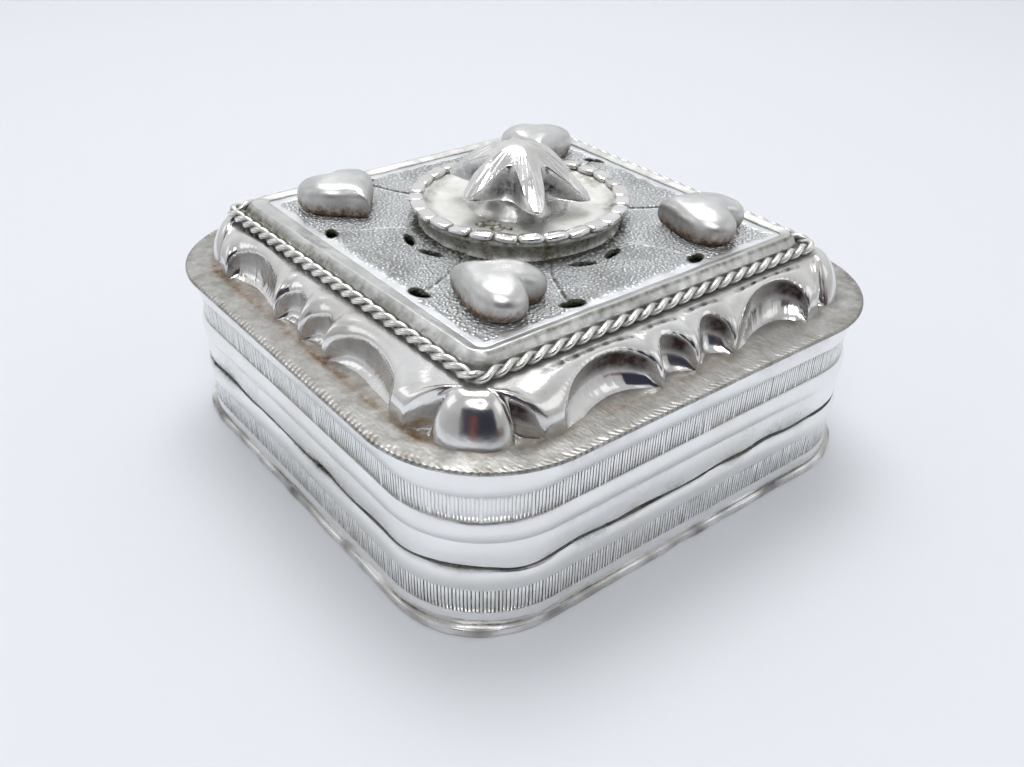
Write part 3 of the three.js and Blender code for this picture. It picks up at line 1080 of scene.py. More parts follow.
@dataclass(frozen=True)
class BorderSide:
    """How the border is worked on one side of the lid.

    Attributes:
        hand: which way round the niches lie, 1 or -1.
        depth: depth of the niches, as a share of their full depth.
        crisp: how crisp their edges are: 1 is a rolled edge over an upright back, and 0 a soft scoop.
        tarnish_and_shade: how dark their backs are, from 0 to 1: red-brown tarnish, with painted shade and
            painted reflection.
    """

    hand: int
    depth: float
    crisp: float
    tarnish_and_shade: float


@dataclass(frozen=True)
class ScrollBorder:
    """Lid flange with its nicked edge, and the stamped border of niches and lobes inside it.

    Attributes:
        flange_width: width of the flat flange.
        flange_sheet: thickness of the flange.
        rim_corner: corner radius of the rim.
        border_width: width of the border, from its foot to the step.
        step_corner: corner radius of the step.
        opening: half width of the opening under the panel.
        niches: the niches that are cut into its outer side.
        full_from: distance from the middle beyond which niches have their full depth on every side.
        sides: how each side is worked, from +X anticlockwise.
        fold: section of a fold, from its foot to the step, as shares of the border's width and height.
        lobe: section of the corner lobe, in the same shares.
        lobe_start: distance from the middle of the side at which the corner lobe begins.
        lobe_ease: length over which it grows.
        slope_points: points of the section before niches are cut into it.
        reach: distance from the middle of a side up to which its edges are measured.
        edge_step: spacing at which they are measured.
        column_step: length of one face round the border.
        rim_step: length of one face round the rim.
        roll: half width of the rolled edge over a niche.
        roll_rise: how far the rolled edge stands over the fold.
        lean: how far the foot of a niche's back comes forward, as a share of the border's width.
        undercut: how far the back lies behind the rolled edge, as a share of the border's width.
        soften: how far a soft edge drops.
        floor_rows: faces across the floor of a niche.
        back_rows: faces up the back of a niche.
        top_rows: faces from the edge of a niche to the step.
        nick_pitch: distance between the nicks of the edge.
        nick_width: half width of a nick.
        nick_length: length of a nick.
        nick_depth: depth of a nick.
        nick_slant: how far a nick runs along the rim for each mm inwards.
    """

    flange_width: float = 2.2
    flange_sheet: float = 0.55
    rim_corner: float = 8.6
    border_width: float = 2.65
    step_corner: float = 1.2
    opening: float = 12.53
    niches: tuple[Niche, ...] = (
        Niche(-15.8, -12.75, -12.1, 0.6, start_power=1.3, start_ease=2.0),
        Niche(-10.7, -5.6, -3.0, 0.7, start_power=1.6, end_power=2.6),
        Niche(-2.85, -1.45, 0.1, 0.58),
        Niche(0.3, 1.95, 3.5, 0.62),
        Niche(3.7, 7.4, 10.9, 0.76, end_power=2.2, end_ease=1.1),
        Niche(11.9, 12.6, 15.8, 0.6, end_power=1.3, end_ease=2.0),
    )
    full_from: float = 10.5
    sides: tuple[BorderSide, ...] = (
        BorderSide(hand=1, depth=1.0, crisp=1.0, tarnish_and_shade=1.0),
        BorderSide(hand=-1, depth=0.9, crisp=0.6, tarnish_and_shade=0.7),
        BorderSide(hand=1, depth=0.9, crisp=0.6, tarnish_and_shade=0.7),
        BorderSide(hand=-1, depth=0.8, crisp=0.2, tarnish_and_shade=0.5),
    )
    fold: tuple[tuple[float, float], ...] = (
        *((1.0, 0.0), (0.98, 0.2), (0.9, 0.45), (0.74, 0.67)),
        *((0.5, 0.82), (0.25, 0.92), (0.0, 1.0)),
    )
    lobe: tuple[tuple[float, float], ...] = (
        *((1.26, 0.0), (1.17, 0.2), (1.02, 0.46), (0.8, 0.72)),
        *((0.53, 0.91), (0.25, 1.0), (0.0, 1.0)),
    )
    lobe_start: float = 12.5
    lobe_ease: float = 1.3
    slope_points: int = 80
    reach: float = 17.5
    edge_step: float = 0.04
    column_step: float = 0.1
    rim_step: float = 0.07
    roll: float = 0.5
    roll_rise: float = 0.22
    lean: float = 0.4
    undercut: float = 0.07
    soften: float = 0.6
    floor_rows: int = 8
    back_rows: int = 20
    top_rows: int = 32
    nick_pitch: float = 0.42
    nick_width: float = 0.07
    nick_length: float = 0.45
    nick_depth: float = 0.06
    nick_slant: float = 0.8

    @property
    def rim(self) -> float:
        """Half width of the rim."""
        return half_width("lid_plate")

    @property
    def rim_track(self) -> SquareTrack:
        """The rim of the flange."""
        return SquareTrack(self.rim - self.rim_corner, self.rim_corner)

    @property
    def foot_track(self) -> SquareTrack:
        """The foot of the border."""
        return SquareTrack(self.rim - self.rim_corner, self.rim_corner - self.flange_width)

    def _flange_section(self) -> Array:
        """Draws the flange from under its inner edge, round the rim and back in.

        Returns:
            The closed section.
        """
        low = heights("lid_plate")[0]
        top = low + self.flange_sheet
        inner = self.flange_width + self.border_width
        points = [(inner, low, 0), (0.7, low, 0.5), (0.08, top - 0.3, 0.2)]
        points += [(0, top - 0.22, 0), (0, top - 0.12, 0), (0.04, top - 0.04, 0)]
        points += [(0.1 * step, top, 0) for step in range(1, 11)]
        points += [(self.flange_width * share, top, 0) for share in (0.6, 0.75, 0.9, 1.2)]
        return drawn(self.rim, [*points, (inner, top, 0)])

    def _engrave(self, points: Array, along: Array, row: Array) -> tuple[Array, Array]:
        """Cuts the nicks into the flange, with dirt in them and along the border's foot.

        Args:
            points: swept points.
            along: lengths along the rim.
            row: row numbers in the section.

        Returns:
            The moved points, and their grime.
        """
        count = round(self.rim_track.length / self.nick_pitch)
        pitch = self.rim_track.length / count
        inward = self.rim - self._flange_section()[row, 0]
        phase = (along + self.nick_slant * inward) / pitch
        nearest = np.rint(phase)
        draw = np.random.default_rng(SEED)
        uneven = draw.uniform(0.5, 1.2, count)[nearest.astype(int) % count]
        top = heights("lid_plate")[0] + self.flange_sheet
        fade = smooth((self.nick_length * uneven - inward) / 0.2 + 0.5) * (points[:, 2] > top - 0.2)
        cut = bell((phase - nearest) * pitch, self.nick_width) * uneven * fade
        moved = points.copy()
        moved[:, 2] -= self.nick_depth * cut
        moved[:, :2] *= (1 - np.where(inward < 0.06, 0.09 * cut / self.rim, 0))[:, None]
        foot = bell(inward - self.flange_width, 0.45)
        front = smooth(0.5 - points[:, 1] / (1.6 * self.rim))
        patches = 0.6 + 0.7 * rough_field(points, 2.4)
        nicks = np.where(inward < 0.08, 0.2, 0.6) * unit(cut - 0.2)
        return moved, nicks + foot * (0.1 + 1.1 * front) * patches + 0.1 * (inward > 0.1)

    def _depth(self, spot: float, side: BorderSide) -> float:
        """Depth of the niches at a spot along a side, as a share of the border's width."""
        full = side.depth + (1 - side.depth) * float(smooth((abs(spot) - self.full_from) / 1.5))
        return full * max(niche.at(spot) for niche in self.niches)

    def _lip_distance(self, side: BorderSide) -> GapTable:
        """Measures how far places on the border lie from the edges of the niches, in plan.

        Args:
            side: how the side is worked.

        Returns:
            Places along the side, distances out from the step, and a table of gaps to the nearest edge.
        """
        line = np.arange(-self.reach, self.reach, self.edge_step / 4)
        depths = np.array([self._depth(spot, side) for spot in line])
        edge = np.column_stack([line, self.border_width * (1 - depths)])
        steps = lengths(edge)
        edge = along_line(edge, steps, np.arange(0, steps[-1], self.edge_step))
        along = np.arange(0.1 - self.reach, self.reach - 0.1, 2 * self.edge_step)
        out = np.arange(0, 1.3 * self.border_width, 2 * self.edge_step)
        spots = np.stack(np.meshgrid(along, out, indexing="ij"), axis=-1)
        gaps = [np.min(np.linalg.norm(row[:, None] - edge[None], axis=2), axis=1) for row in spots]
        return along, out, np.array(gaps)

    def _rolled(self, gap: Array, crisp: float) -> Array:
        """Finds the height of the edge over the plain section.

        Args:
            gap: distances from the edge of a niche.
            crisp: how crisp the edge is, from 0 to 1.

        Returns:
            Heights in mm: a roll on a crisp edge, and a drop on a soft one.
        """
        rising = np.sqrt(unit(1 - (1 - np.minimum(gap / self.roll, 1)) ** 2))
        falling = 0.5 + 0.5 * np.cos(math.pi * unit((gap - self.roll) / (2.8 * self.roll)))
        drop = 1 - np.sqrt(unit(1 - (1 - np.minimum(gap / (2 * self.roll), 1)) ** 2))
        crest = self.roll_rise * crisp * np.where(gap < self.roll, rising, falling)
        return crest - self.soften * (1 - crisp) * drop

    def _column(self, spot: float, side: BorderSide, gaps: GapTable) -> tuple[Array, Array]:
        """Draws the section of the border at one place along its side.

        Args:
            spot: place along the side, from its middle.
            side: how the side is worked.
            gaps: the table of gaps to the edges of the niches.

        Returns:
            Points from the foot over the niche's floor, back and edge to the step, as shares of the
            border's width and height, and their grime.
        """
        lobed = float(smooth((abs(spot) - self.lobe_start) / self.lobe_ease))
        section = np.array(self.fold) * (1 - lobed) + np.array(self.lobe) * lobed
        slope = flowing(section, self.slope_points)
        depth = self._depth(spot, side)
        foot = slope[0, 0]
        hidden = min(depth / 0.3, 1.0)
        crisp = 1 - (1 - side.crisp) * hidden
        top = self._top(slope, foot - depth, gaps, spot, crisp, lobed)
        cut, edge_up = top[0]
        lean = min(depth, self.lean + 0.1 * (1 - side.crisp))
        inset = self.undercut * hidden * side.crisp
        low = -0.05
        out = np.linspace(foot, cut + lean, self.floor_rows)
        floor = np.column_stack([out, np.full(self.floor_rows, low)])
        scoop = [(lean, 0.0), (0.55 * lean, 0.06), (0.2 * lean, 0.19)]
        scoop += [(0.1 * lean * (1 - side.crisp) - inset, 0.48), (-inset, 0.8)]
        scoop += [(-0.3 * inset, 0.95), (0.0, 1.0)]
        back = flowing([(cut + out, low + (edge_up - low) * up) for out, up in scoop], self.back_rows)
        height = np.linspace(0, 1, self.back_rows)
        wall = smooth((height - 0.45) / 0.25) * (0.5 + 0.5 * smooth((1.0 - height) / 0.1))
        # The niches' backs darken towards their edge: red-brown tarnish, with painted shade and a painted
        # reflection of the room's dark side.
        stain_and_shade = hidden * (1 - lobed) * side.tarnish_and_shade * max(niche.stain_and_shade(spot) for niche in self.niches)
        tarnish_and_shade = np.concatenate([np.zeros(self.floor_rows), stain_and_shade * wall, np.zeros(len(top))])
        row = np.arange(len(tarnish_and_shade))
        corner = bell(row - self.floor_rows, 3)
        step = np.exp(-(len(tarnish_and_shade) - 1 - row) / 2.0)
        return np.concatenate([floor, back, top]), 0.3 * hidden * corner + 0.55 * step + tarnish_and_shade

    def _top(
        self, slope: Array, cut: float, gaps: GapTable, spot: float, crisp: float, lobed: float
    ) -> Array:
        """Draws the upper side of the border at one place, from the edge of the niche to the step.

        Args:
            slope: the section without niche and rolled edge, from foot to step.
            cut: how far out the edge of the niche lies.
            gaps: the table of gaps to the edges of the niches.
            spot: place along the side, from its middle.
            crisp: how crisp the edges of the niches are, from 0 to 1.
            lobed: how much of the corner lobe there is, from 0 to 1.

        Returns:
            Its points, as shares of the border's width and height.
        """
        low, high = heights("lid_plate")
        size = np.array([self.border_width, high - low - self.flange_sheet])
        line = slope * size
        steps = lengths(line)
        start = float(np.interp(-cut * size[0], -line[:, 0], steps))
        share = np.linspace(0, 1, self.top_rows + 1) ** 1.5
        spots = start + (steps[-1] - start) * share
        points = along_line(line, steps, spots)
        tangent = along_line(np.gradient(line, steps, axis=0), steps, spots)
        normal = np.column_stack([tangent[:, 1], -tangent[:, 0]])
        along, out, table = gaps
        gap = np.interp(points[:, 0], out, table[np.argmin(np.abs(along - spot))])
        fade = smooth(points[:, 0] / (0.3 * size[0]))
        points = points + normal * ((1 - lobed) * fade * self._rolled(gap, crisp))[:, None]
        full = along_line(line, steps, steps[-1] * share)
        full[:, 0] *= cut / slope[0, 0]
        return (points + (full - points) * lobed) / size

    def _border(self) -> Piece:
        """Models the border: its niches and lobes, the land inside the step, and its underside.

        Returns:
            The border.
        """
        low, high = heights("lid_plate")
        foot_z = low + self.flange_sheet
        track = self.foot_track
        step_half = self.rim - self.flange_width - self.border_width
        land = [(self.opening, high), (self.opening, high - 0.4)]
        underside = [(step_half - 0.7, high - 0.5), (step_half - 0.2, foot_z - 0.3)]
        back = np.array(land + underside)
        top_row = self.floor_rows + self.back_rows + self.top_rows
        rows = top_row + len(back) + 1

        columns = round(track.length / self.column_step)
        spots = track.at(np.arange(columns) / columns)
        gaps = [self._lip_distance(side) for side in self.sides]
        made = [
            self._column(offset * self.sides[side].hand, self.sides[side], gaps[side])
            for offset, side in zip(spots.offset, spots.side)
        ]
        curves, dirts = (np.array(part) for part in zip(*made))

        def place(across: Array, up_share: Array) -> tuple[Array, Array]:
            """Runs from the foot over the niches to the step, over the land and back underneath.

            Args:
                across: shares of the way round.
                up_share: shares of the way along the section.

            Returns:
                Points and grime.
            """
            row = np.rint(up_share * rows).astype(int)
            column = np.rint(across * columns).astype(int) % columns
            kept = np.where(row <= top_row, row, 0)
            out, up = curves[column, kept].T
            base, normal = spots.base[column], spots.normal[column]
            foot = base + normal * track.corner
            step_centre = step_half - self.step_corner
            step = base * (step_centre / track.centre) + normal * self.step_corner
            plan = step + (foot - step) * out[:, None]
            z = foot_z + (high - foot_z) * up
            behind = np.clip(row - top_row - 1, 0, len(back) - 1)
            under = (row > top_row) & (row < rows)
            plan = np.where(under[:, None], step * (back[behind, 0] / step_half)[:, None], plan)
            z = np.where(under, back[behind, 1], z)
            return np.column_stack([plan, z]), np.where(under, 0.3, dirts[column, kept])

        return wrapped_grid("scroll_border", columns, rows, place)

    def build(self) -> None:
        """Models and dresses the flange and the border."""
        track = self.rim_track
        columns = round(track.length / self.rim_step)
        flange = track.sweep("lid_flange", self._flange_section(), columns, self._engrave)
        settle(flange, Body.LID, ENGRAVED, ["lid_plate"], 60)
        settle(self._border(), Body.LID, POLISHED, ["lid_plate"], 70)


@dataclass(frozen=True)
class TopFrame:
    """Frame strip round the panel, and the twisted wire round the frame.

    Attributes:
        frame_corner: corner radius of the frame.
        frame_width: width of the frame that shows.
        ledge_width: width of the frame with the ledge that carries the panel.
        wire_corner: corner radius of the wire's middle line.
        wire_gap: gap from the frame to the wire's middle line.
        wire_radius: radius of the whole twist.
        strand_radius: radius of one strand.
        strand_faces: faces round a strand, and along each stretch of it that shows.
        lobes_per_side: how many strands show along one side.
        skew: how far the left end of the front side stands out, as a share.
    """

    frame_corner: float = 0.15
    frame_width: float = 1.1
    ledge_width: float = 1.5
    wire_corner: float = 0.7
    wire_gap: float = 0.46
    wire_radius: float = 0.41
    strand_radius: float = 0.235
    strand_faces: int = 12
    lobes_per_side: int = 24
    skew: float = 0.05

    def _askew(self, points: Array) -> Array:
        """Share of the skew at points: none at the back, and most at the front left."""
        return (points[:, 1] < 0) * (0.5 - points[:, 0] / (2 * half_width("rope_border")))

    def _uneven(self, points: Array, _along: Array, _row: Array) -> tuple[Array, Array]:
        """Leaves the strip slightly bent and askew, with its front side's dirt down by the wire.

        Args:
            points: swept points.
            _along: lengths along the track, which make no difference here.
            _row: row numbers in the section, which make none either.

        Returns:
            The moved points, and their extra grime.
        """
        low, high = heights("frame_strip")
        inner = half_width("frame_strip") - self.frame_width
        reach = np.max(np.abs(points[:, :2]), axis=1)
        front = smooth((-points[:, 1] - inner) / 0.1)
        by_wire = bell(points[:, 2] - low - 0.9, 0.2)
        by_ridge = bell(points[:, 2] - high + 0.12, 0.1)
        patches = 0.35 * rough_field(points, 0.5, 2.0) * (reach > inner + 0.5)
        askew = self._askew(points)
        moved = points.copy()
        moved[:, 1] *= 1 + self.skew * smooth((reach - inner) / 0.4) * askew
        moved[:, 2] += np.where(points[:, 2] > low + 0.3, 0.035 * rough_field(points, 2.6), 0)
        return moved, front * ((0.15 + 0.6 * askew) * by_wire - 0.6 * by_ridge) + patches

    def _frame(self) -> Piece:
        """Models the frame strip: a slope over the wire, a ridge and a wide band that falls to the panel.

        Returns:
            The frame strip.
        """
        low, high = heights("frame_strip")
        half = half_width("frame_strip")
        width, ledge = self.frame_width, self.ledge_width
        lower = [(ledge, 0, 0.3), (0, 0, 0.9), (0, 0.6, 0.5), (0.02, 0.74, 0.22), (0.1, 0.86, 0.18)]
        upper = [(0.25, 0.26, 0.22), (0.33, 0.16, 0.6), (0.4, 0.08, 0.6), (0.46, 0.02, 0.15)]
        upper += [(0.53, 0, 0.08), (0.63, 0.02, 0.15), (0.8, 0.07, 0.22), (0.95, 0.12, 0.25)]
        upper += [(width, 0.16, 0.3), (width, 0.6, 0.4), (ledge, 0.6, 0.3)]
        points = [(inward, low + up, grime) for inward, up, grime in lower]
        points += [(inward, high - down, grime) for inward, down, grime in upper]
        track = SquareTrack(half - ledge - self.frame_corner, self.frame_corner + ledge)
        columns = round(track.length / STRIP_STEP)
        return track.sweep("frame_rail", drawn(half, points), columns, self._uneven)

    def _strand(self, start: float, across: Array, around: Array) -> tuple[Array, Array]:
        """Lays one strand of the wire round the middle line of the twist, left-handed.

        Args:
            start: angle at which the strand starts.
            across: shares of the way round the frame.
            around: shares of the way round the strand.

        Returns:
            Points and grime.
        """
        middle = half_width("frame_strip") + self.wire_gap
        track = SquareTrack(middle - self.wire_corner, self.wire_corner)
        spots = track.at(across)
        line = spots.base + spots.normal * track.corner
        turns = 4 * self.lobes_per_side / 2
        lay = start + 2 * math.pi * turns * across
        skin = 2 * math.pi * around
        reach = self.wire_radius - self.strand_radius
        out = reach * np.cos(lay) + self.strand_radius * np.cos(skin)
        up = reach * np.sin(lay) + self.strand_radius * np.sin(skin)
        z = heights("rope_border")[0] + self.wire_radius
        points = np.column_stack([line + spots.normal * out[:, None], z + up])
        points[:, 1] *= 1 + self.skew * self._askew(points)
        # Painted shade with some dirt deep in the crease between the strands, and painted shade on the
        # wire's underside.
        deep = 1.9 * unit(0.9 - np.hypot(out, up) / self.wire_radius)
        shaded_underside = smooth((-0.25 - up / self.wire_radius) / 0.6)
        return points, deep + 0.8 * shaded_underside

    def _wire(self) -> Piece:
        """Models the twisted wire: two round strands laid round each other.

        Returns:
            The wire.
        """
        columns = 4 * self.lobes_per_side * self.strand_faces
        strands = []
        for strand in range(2):
            place = partial(self._strand, strand * math.pi)
            strands.append(wrapped_grid(f"strand_{strand}", columns, self.strand_faces, place))
        wire = joined(strands)
        wire.name = "twisted_wire"
        return wire

    def build(self) -> None:
        """Models and dresses the frame and the wire."""
        settle(self._frame(), Body.LID, DULLED, ["frame_strip"], 50)
        settle(self._wire(), Body.LID, WIRE, ["rope_border"], 180)


@dataclass(frozen=True)
class ChasedPanel:
    """Pierced panel with a grainy fan on each side, and the lining that closes the lid from below.

    Attributes:
        spacing: spacing of the panel's grid.
        fan_near: half width of a fan at the dish.
        fan_far: half width of a fan at the frame.
        fan_start: distance of the fan's near end from the middle.
        fan_rise: how far a fan stands over the field.
        near_size: length and width of the piercings at the dish.
        far_size: length and width of the piercings at the frame.
        near_spread: distance of the near piercings from a side's middle line.
        near_reach: distance of the near piercings from the middle.
        far_spread: distance of the far piercings from a side's middle line.
        far_reach: distance of the far piercings from the middle.
        hole_turn: how far each piercing is turned, in radians.
        dish_line: radius of the painted shade and olive dirt round the foot of the dish.
        lining_corner: corner radius of the lining.
        lining_lip: rounding of its edges.
    """

    spacing: float = 0.11
    fan_near: float = 2.9
    fan_far: float = 5.9
    fan_start: float = 7.2
    fan_rise: float = 0.1
    near_size: tuple[float, float] = (1.8, 0.6)
    far_size: tuple[float, float] = (1.6, 0.85)
    near_spread: float = 1.3
    near_reach: float = 8.425
    far_spread: float = 5.4
    far_reach: float = 12.1
    hole_turn: float = 0.35
    dish_line: float = 7.1
    lining_corner: float = 6.4
    lining_lip: float = 0.1

    def _relief(self, points: Array) -> tuple[Array, Array, Array]:
        """Height of the chasing over the panel, its grime, with painted shade round the dish and the
        piercings, and where it is punched with dots.

        Args:
            points: plan points of the panel.

        Returns:
            Heights in mm, grime and stipple.
        """
        half = half_width("pierced_panel")
        x, y = np.abs(points[:, 0]), np.abs(points[:, 1])
        reach = np.maximum(x, y)
        across = np.minimum(x, y)
        share = unit((reach - self.fan_start) / (half - self.fan_start))
        fan_half = self.fan_near + (self.fan_far - self.fan_near) * share**0.7
        off = across - fan_half
        fan = 1 / (1 + np.exp(off / 0.06))
        groove = bell(off - 0.02, 0.1)
        spots = np.column_stack([points[:, :2], np.zeros(len(points))])
        soft = rough_field(spots, 1.5, 9.0)
        inside = smooth((half - reach - 0.45 - 0.3 * rough_field(spots, 1.0, 3.0)) / 0.5)
        height = inside * (self.fan_rise * fan - 0.05 * groove) + 0.04 * soft
        ring = np.hypot(points[:, 0], points[:, 1])
        patches = unit(0.3 + 0.9 * rough_field(spots, 2.6, 6.0))
        # Dirt in the grooves and in patches, and a ring of painted shade with olive dirt round the foot of
        # the dish.
        dirt = inside * (0.95 * groove + 0.25 * patches) + 0.75 * bell(ring - self.dish_line, 0.6)
        # Painted shade round the rim of each piercing, so that the hole looks dark.
        for place in self._holes():
            flat = np.array(place.inverted())
            local = points[:, :2] @ flat[:2, :2].T + flat[:2, 3]
            rim = np.maximum(np.linalg.norm(local, axis=1) - 0.5, 0)
            dirt = np.maximum(dirt, bell(rim, 0.08))
        dots = inside * (fan + (1 - fan) * 0.8 * smooth((off - 0.2) / 0.15))
        return height, dirt, dots

    def _holes(self) -> list[Matrix]:
        """Finds where the piercings go.

        Returns:
            One matrix for each, which carries a circle of diameter 1 to its outline.
        """
        spots = [
            (self.near_spread, self.near_reach, self.near_size),
            (self.far_spread, self.far_reach, self.far_size),
        ]
        places = []
        for side in range(4):
            turn = Matrix.Rotation(side * math.pi / 2, 4, "Z")
            for spread, reach, (length, width) in spots:
                for hand in (-1, 1):
                    spot = Matrix.Translation((hand * spread, -reach, 0))
                    size = Matrix.Diagonal((length, width, 1, 1))
                    places.append(turn @ spot @ Matrix.Rotation(hand * self.hole_turn, 4, "Z") @ size)
        return places

    def _piercings(self) -> Piece:
        """Makes the cutters of the piercings.

        Returns:
            All cutters as one object.
        """
        low, high = heights("pierced_panel")
        cutters = []
        for place in self._holes():
            deselect_all()
            bpy.ops.mesh.primitive_cylinder_add(vertices=20, radius=0.5, depth=4 * (high - low))
            cutters.append(bpy.context.object)
            cutters[-1].data.transform(Matrix.Translation((0, 0, (low + high) / 2)) @ place)
        return joined(cutters)

    def _panel(self) -> Piece:
        """Models the panel: a chased sheet with its edge turned down and its piercings cut.

        Returns:
            The panel.
        """
        low, high = heights("pierced_panel")
        half = half_width("pierced_panel")
        count = round(2 * half / self.spacing)

        def place(across: Array, along: Array) -> tuple[Array, Array]:
            """Lays the grid flat and raises the chasing.

            Args:
                across: shares of the way across.
                along: shares of the way along.

            Returns:
                Points and grime.
            """
            flat = np.column_stack([(2 * across - 1) * half, (2 * along - 1) * half])
            height, dirt, _ = self._relief(flat)
            return np.column_stack([flat, high - 0.04 + height]), dirt

        panel = wrapped_grid("chased_panel", count, count, place)
        edit_all()
        bpy.ops.mesh.region_to_loop()
        bpy.ops.mesh.extrude_region_move(TRANSFORM_OT_translate={"value": (0, 0, low - high)})
        bpy.ops.transform.resize(value=(1, 1, 0), center_override=(0, 0, low))
        bpy.ops.mesh.edge_face_add()
        bpy.ops.mesh.select_all(action="SELECT")
        bpy.ops.mesh.normals_make_consistent(inside=False)
        bpy.ops.object.mode_set(mode="OBJECT")
        cutter = self._piercings()
        select_only(panel)
        apply_modifier(panel, "BOOLEAN", {"object": cutter, "operation": "DIFFERENCE"})
        bpy.data.objects.remove(cutter)
        _, dirt, dots = self._relief(coordinates(panel))
        set_level(panel, dirt)
        set_level(panel, dots, STIPPLE)
        return panel

    def build(self) -> None:
        """Models and dresses the panel and the lining."""
        settle(self._panel(), Body.LID, OXIDISED, ["pierced_panel"], 180)
        lining = rounded_plate("lining_sheet", "lid_lining", self.lining_corner, self.lining_lip)
        set_level(lining, np.full(len(lining.data.vertices), 0.1))
        settle(lining, Body.LID, ROLLED, ["lid_lining"], 40)


@dataclass(frozen=True)
class Centrepiece:
    """Dish on its collar, the ring of pearls on its rim, and the star rosette in it.

    Attributes:
        foot: radius of the collar's foot.
        rim_width: width of the rim under the pearls.
        sink: depth of the dish.
        pearls: how many pearls there are.
        pearl_length: length of a pearl along the rim.
        pearl_fullness: how square a pearl is: 1 is an egg, and less is fuller.
        petals: how many ridges the star has.
        petal_reach: radius of the petals' tips.
        brow: radius of the upper edge between two petals.
        hem: radius of the foot between two petals.
        base: radius of the star's round base.
        tip_lift: height of the tips over the dish.
        flute: depth of the flutes between the ridges.
        lumps: how many lumps of solder lie round the star's foot.
        lump_side: directions between which they lie, in radians.
        lump_reach: distances from the middle between which they lie.
        lump_size: least and greatest radius of a lump.
        turn: angle of the first ridge, in degrees.
        lean: lean of the rosette, in degrees.
        raised_side: direction of its raised side, in degrees.
        petal_faces: faces across a petal.
        star_rows: faces from the foot of the star to its top.
    """

    foot: float = 6.9
    rim_width: float = 1.1
    sink: float = 0.35
    pearls: int = 28
    pearl_length: float = 1.7
    pearl_fullness: float = 0.55
    petals: int = 6
    petal_reach: float = 5.1
    brow: float = 2.2
    hem: float = 3.1
    base: float = 3.7
    tip_lift: float = 1.4
    flute: float = 0.6
    lumps: int = 11
    lump_side: tuple[float, float] = (-1.25, -0.8)
    lump_reach: tuple[float, float] = (3.8, 4.9)
    lump_size: tuple[float, float] = (0.14, 0.32)
    turn: float = 36
    lean: float = 5
    raised_side: float = -125
    petal_faces: int = 48
    star_rows: int = 96

    def _dish(self) -> Piece:
        """Models the dish by spinning its section.

        Returns:
            The dish.
        """
        low, high = heights("rosette_dish")
        rim = half_width("rosette_dish")
        middle = (low + high) / 2
        floor, inner = high - self.sink, rim - self.rim_width
        section = [(0.0, floor), (inner - 0.9, floor), (inner - 0.45, floor + 0.05)]
        section += [(inner - 0.1, high - 0.12), (inner + 0.1, high), (rim - 0.3, high)]
        section += [(rim - 0.2, high - 0.08), (rim - 0.22, high - 0.25), (rim - 0.5, high - 0.45)]
        section += [(self.foot + 0.15, middle), (self.foot, low + 0.35), (self.foot + 0.08, low + 0.1)]
        section += [(self.foot + 0.25, low), (0.0, low)]
        deselect_all()
        bpy.ops.mesh.primitive_plane_add(size=1)
        dish = bpy.context.object
        dish.name = "collared_dish"
        bpy.ops.object.mode_set(mode="EDIT")
        bpy.ops.mesh.select_mode(type="VERT")
        bpy.ops.mesh.select_all(action="SELECT")
        bpy.ops.mesh.merge(type="CENTER")
        bpy.ops.transform.translate(value=(section[0][0], 0, section[0][1]))
        for (r0, z0), (r1, z1) in zip(section, section[1:]):
            bpy.ops.mesh.extrude_region_move(TRANSFORM_OT_translate={"value": (r1 - r0, 0, z1 - z0)})
        bpy.ops.mesh.select_all(action="SELECT")
        bpy.ops.mesh.spin(steps=120, angle=2 * math.pi, center=(0, 0, 0), axis=(0, 0, 1))
        bpy.ops.object.mode_set(mode="OBJECT")
        clean_up(dish)
        points = coordinates(dish)
        reach = np.hypot(points[:, 0], points[:, 1])
        corner = bell(reach - (inner - 0.25), 0.25)
        foot = bell(reach - self.hem - 0.3, 1.0)
        patches = unit(0.5 + rough_field(points, 1.2))
        outside = (reach > self.foot - 0.1) & ((points[:, 2] < high - 0.2) | (reach > rim - 0.35))
        drop = unit((high - points[:, 2]) / (high - low))
        stains = np.clip(0.9 * rough_field(points, 1.8, 5.0), 0, 0.4)
        inside = np.where(points[:, 2] > middle, (0.55 * foot + 0.6 * corner) * patches + stains, 0)
        # The collar under the pearls: painted shade, darkest just under the rim, with olive soil in
        # patches.
        set_level(dish, np.where(outside, 0.5 - 0.1 * drop + 0.4 * patches, inside))
        return self._soldered(dish, floor)

    def _soldered(self, dish: Piece, floor: float) -> Piece:
        """Adds the brown lumps of solder round the star's foot.

        Args:
            dish: the dish.
            floor: height of the dish's floor.

        Returns:
            The dish with its lumps.
        """
        draw = np.random.default_rng(SEED)
        lumps = []
        for _ in range(self.lumps):
            ranges = (self.lump_side, self.lump_reach, self.lump_size)
            angle, reach, size = (draw.uniform(*ends) for ends in ranges)
            deselect_all()
            bpy.ops.mesh.primitive_ico_sphere_add(subdivisions=3, radius=size)
            lump = bpy.context.object
            points = coordinates(lump)
            points *= (1 + 0.5 * rough_field(points, 0.2, 10 * size))[:, None]
            spot = (reach * math.cos(angle), reach * math.sin(angle), floor + 0.03)
            points = points * (1.3, 1.2, 0.45) + spot
            set_coordinates(lump, points)
            set_level(lump, 0.8 + 0.4 * rough_field(points, 0.3))
            lumps.append(lump)
        return joined([dish, *lumps])

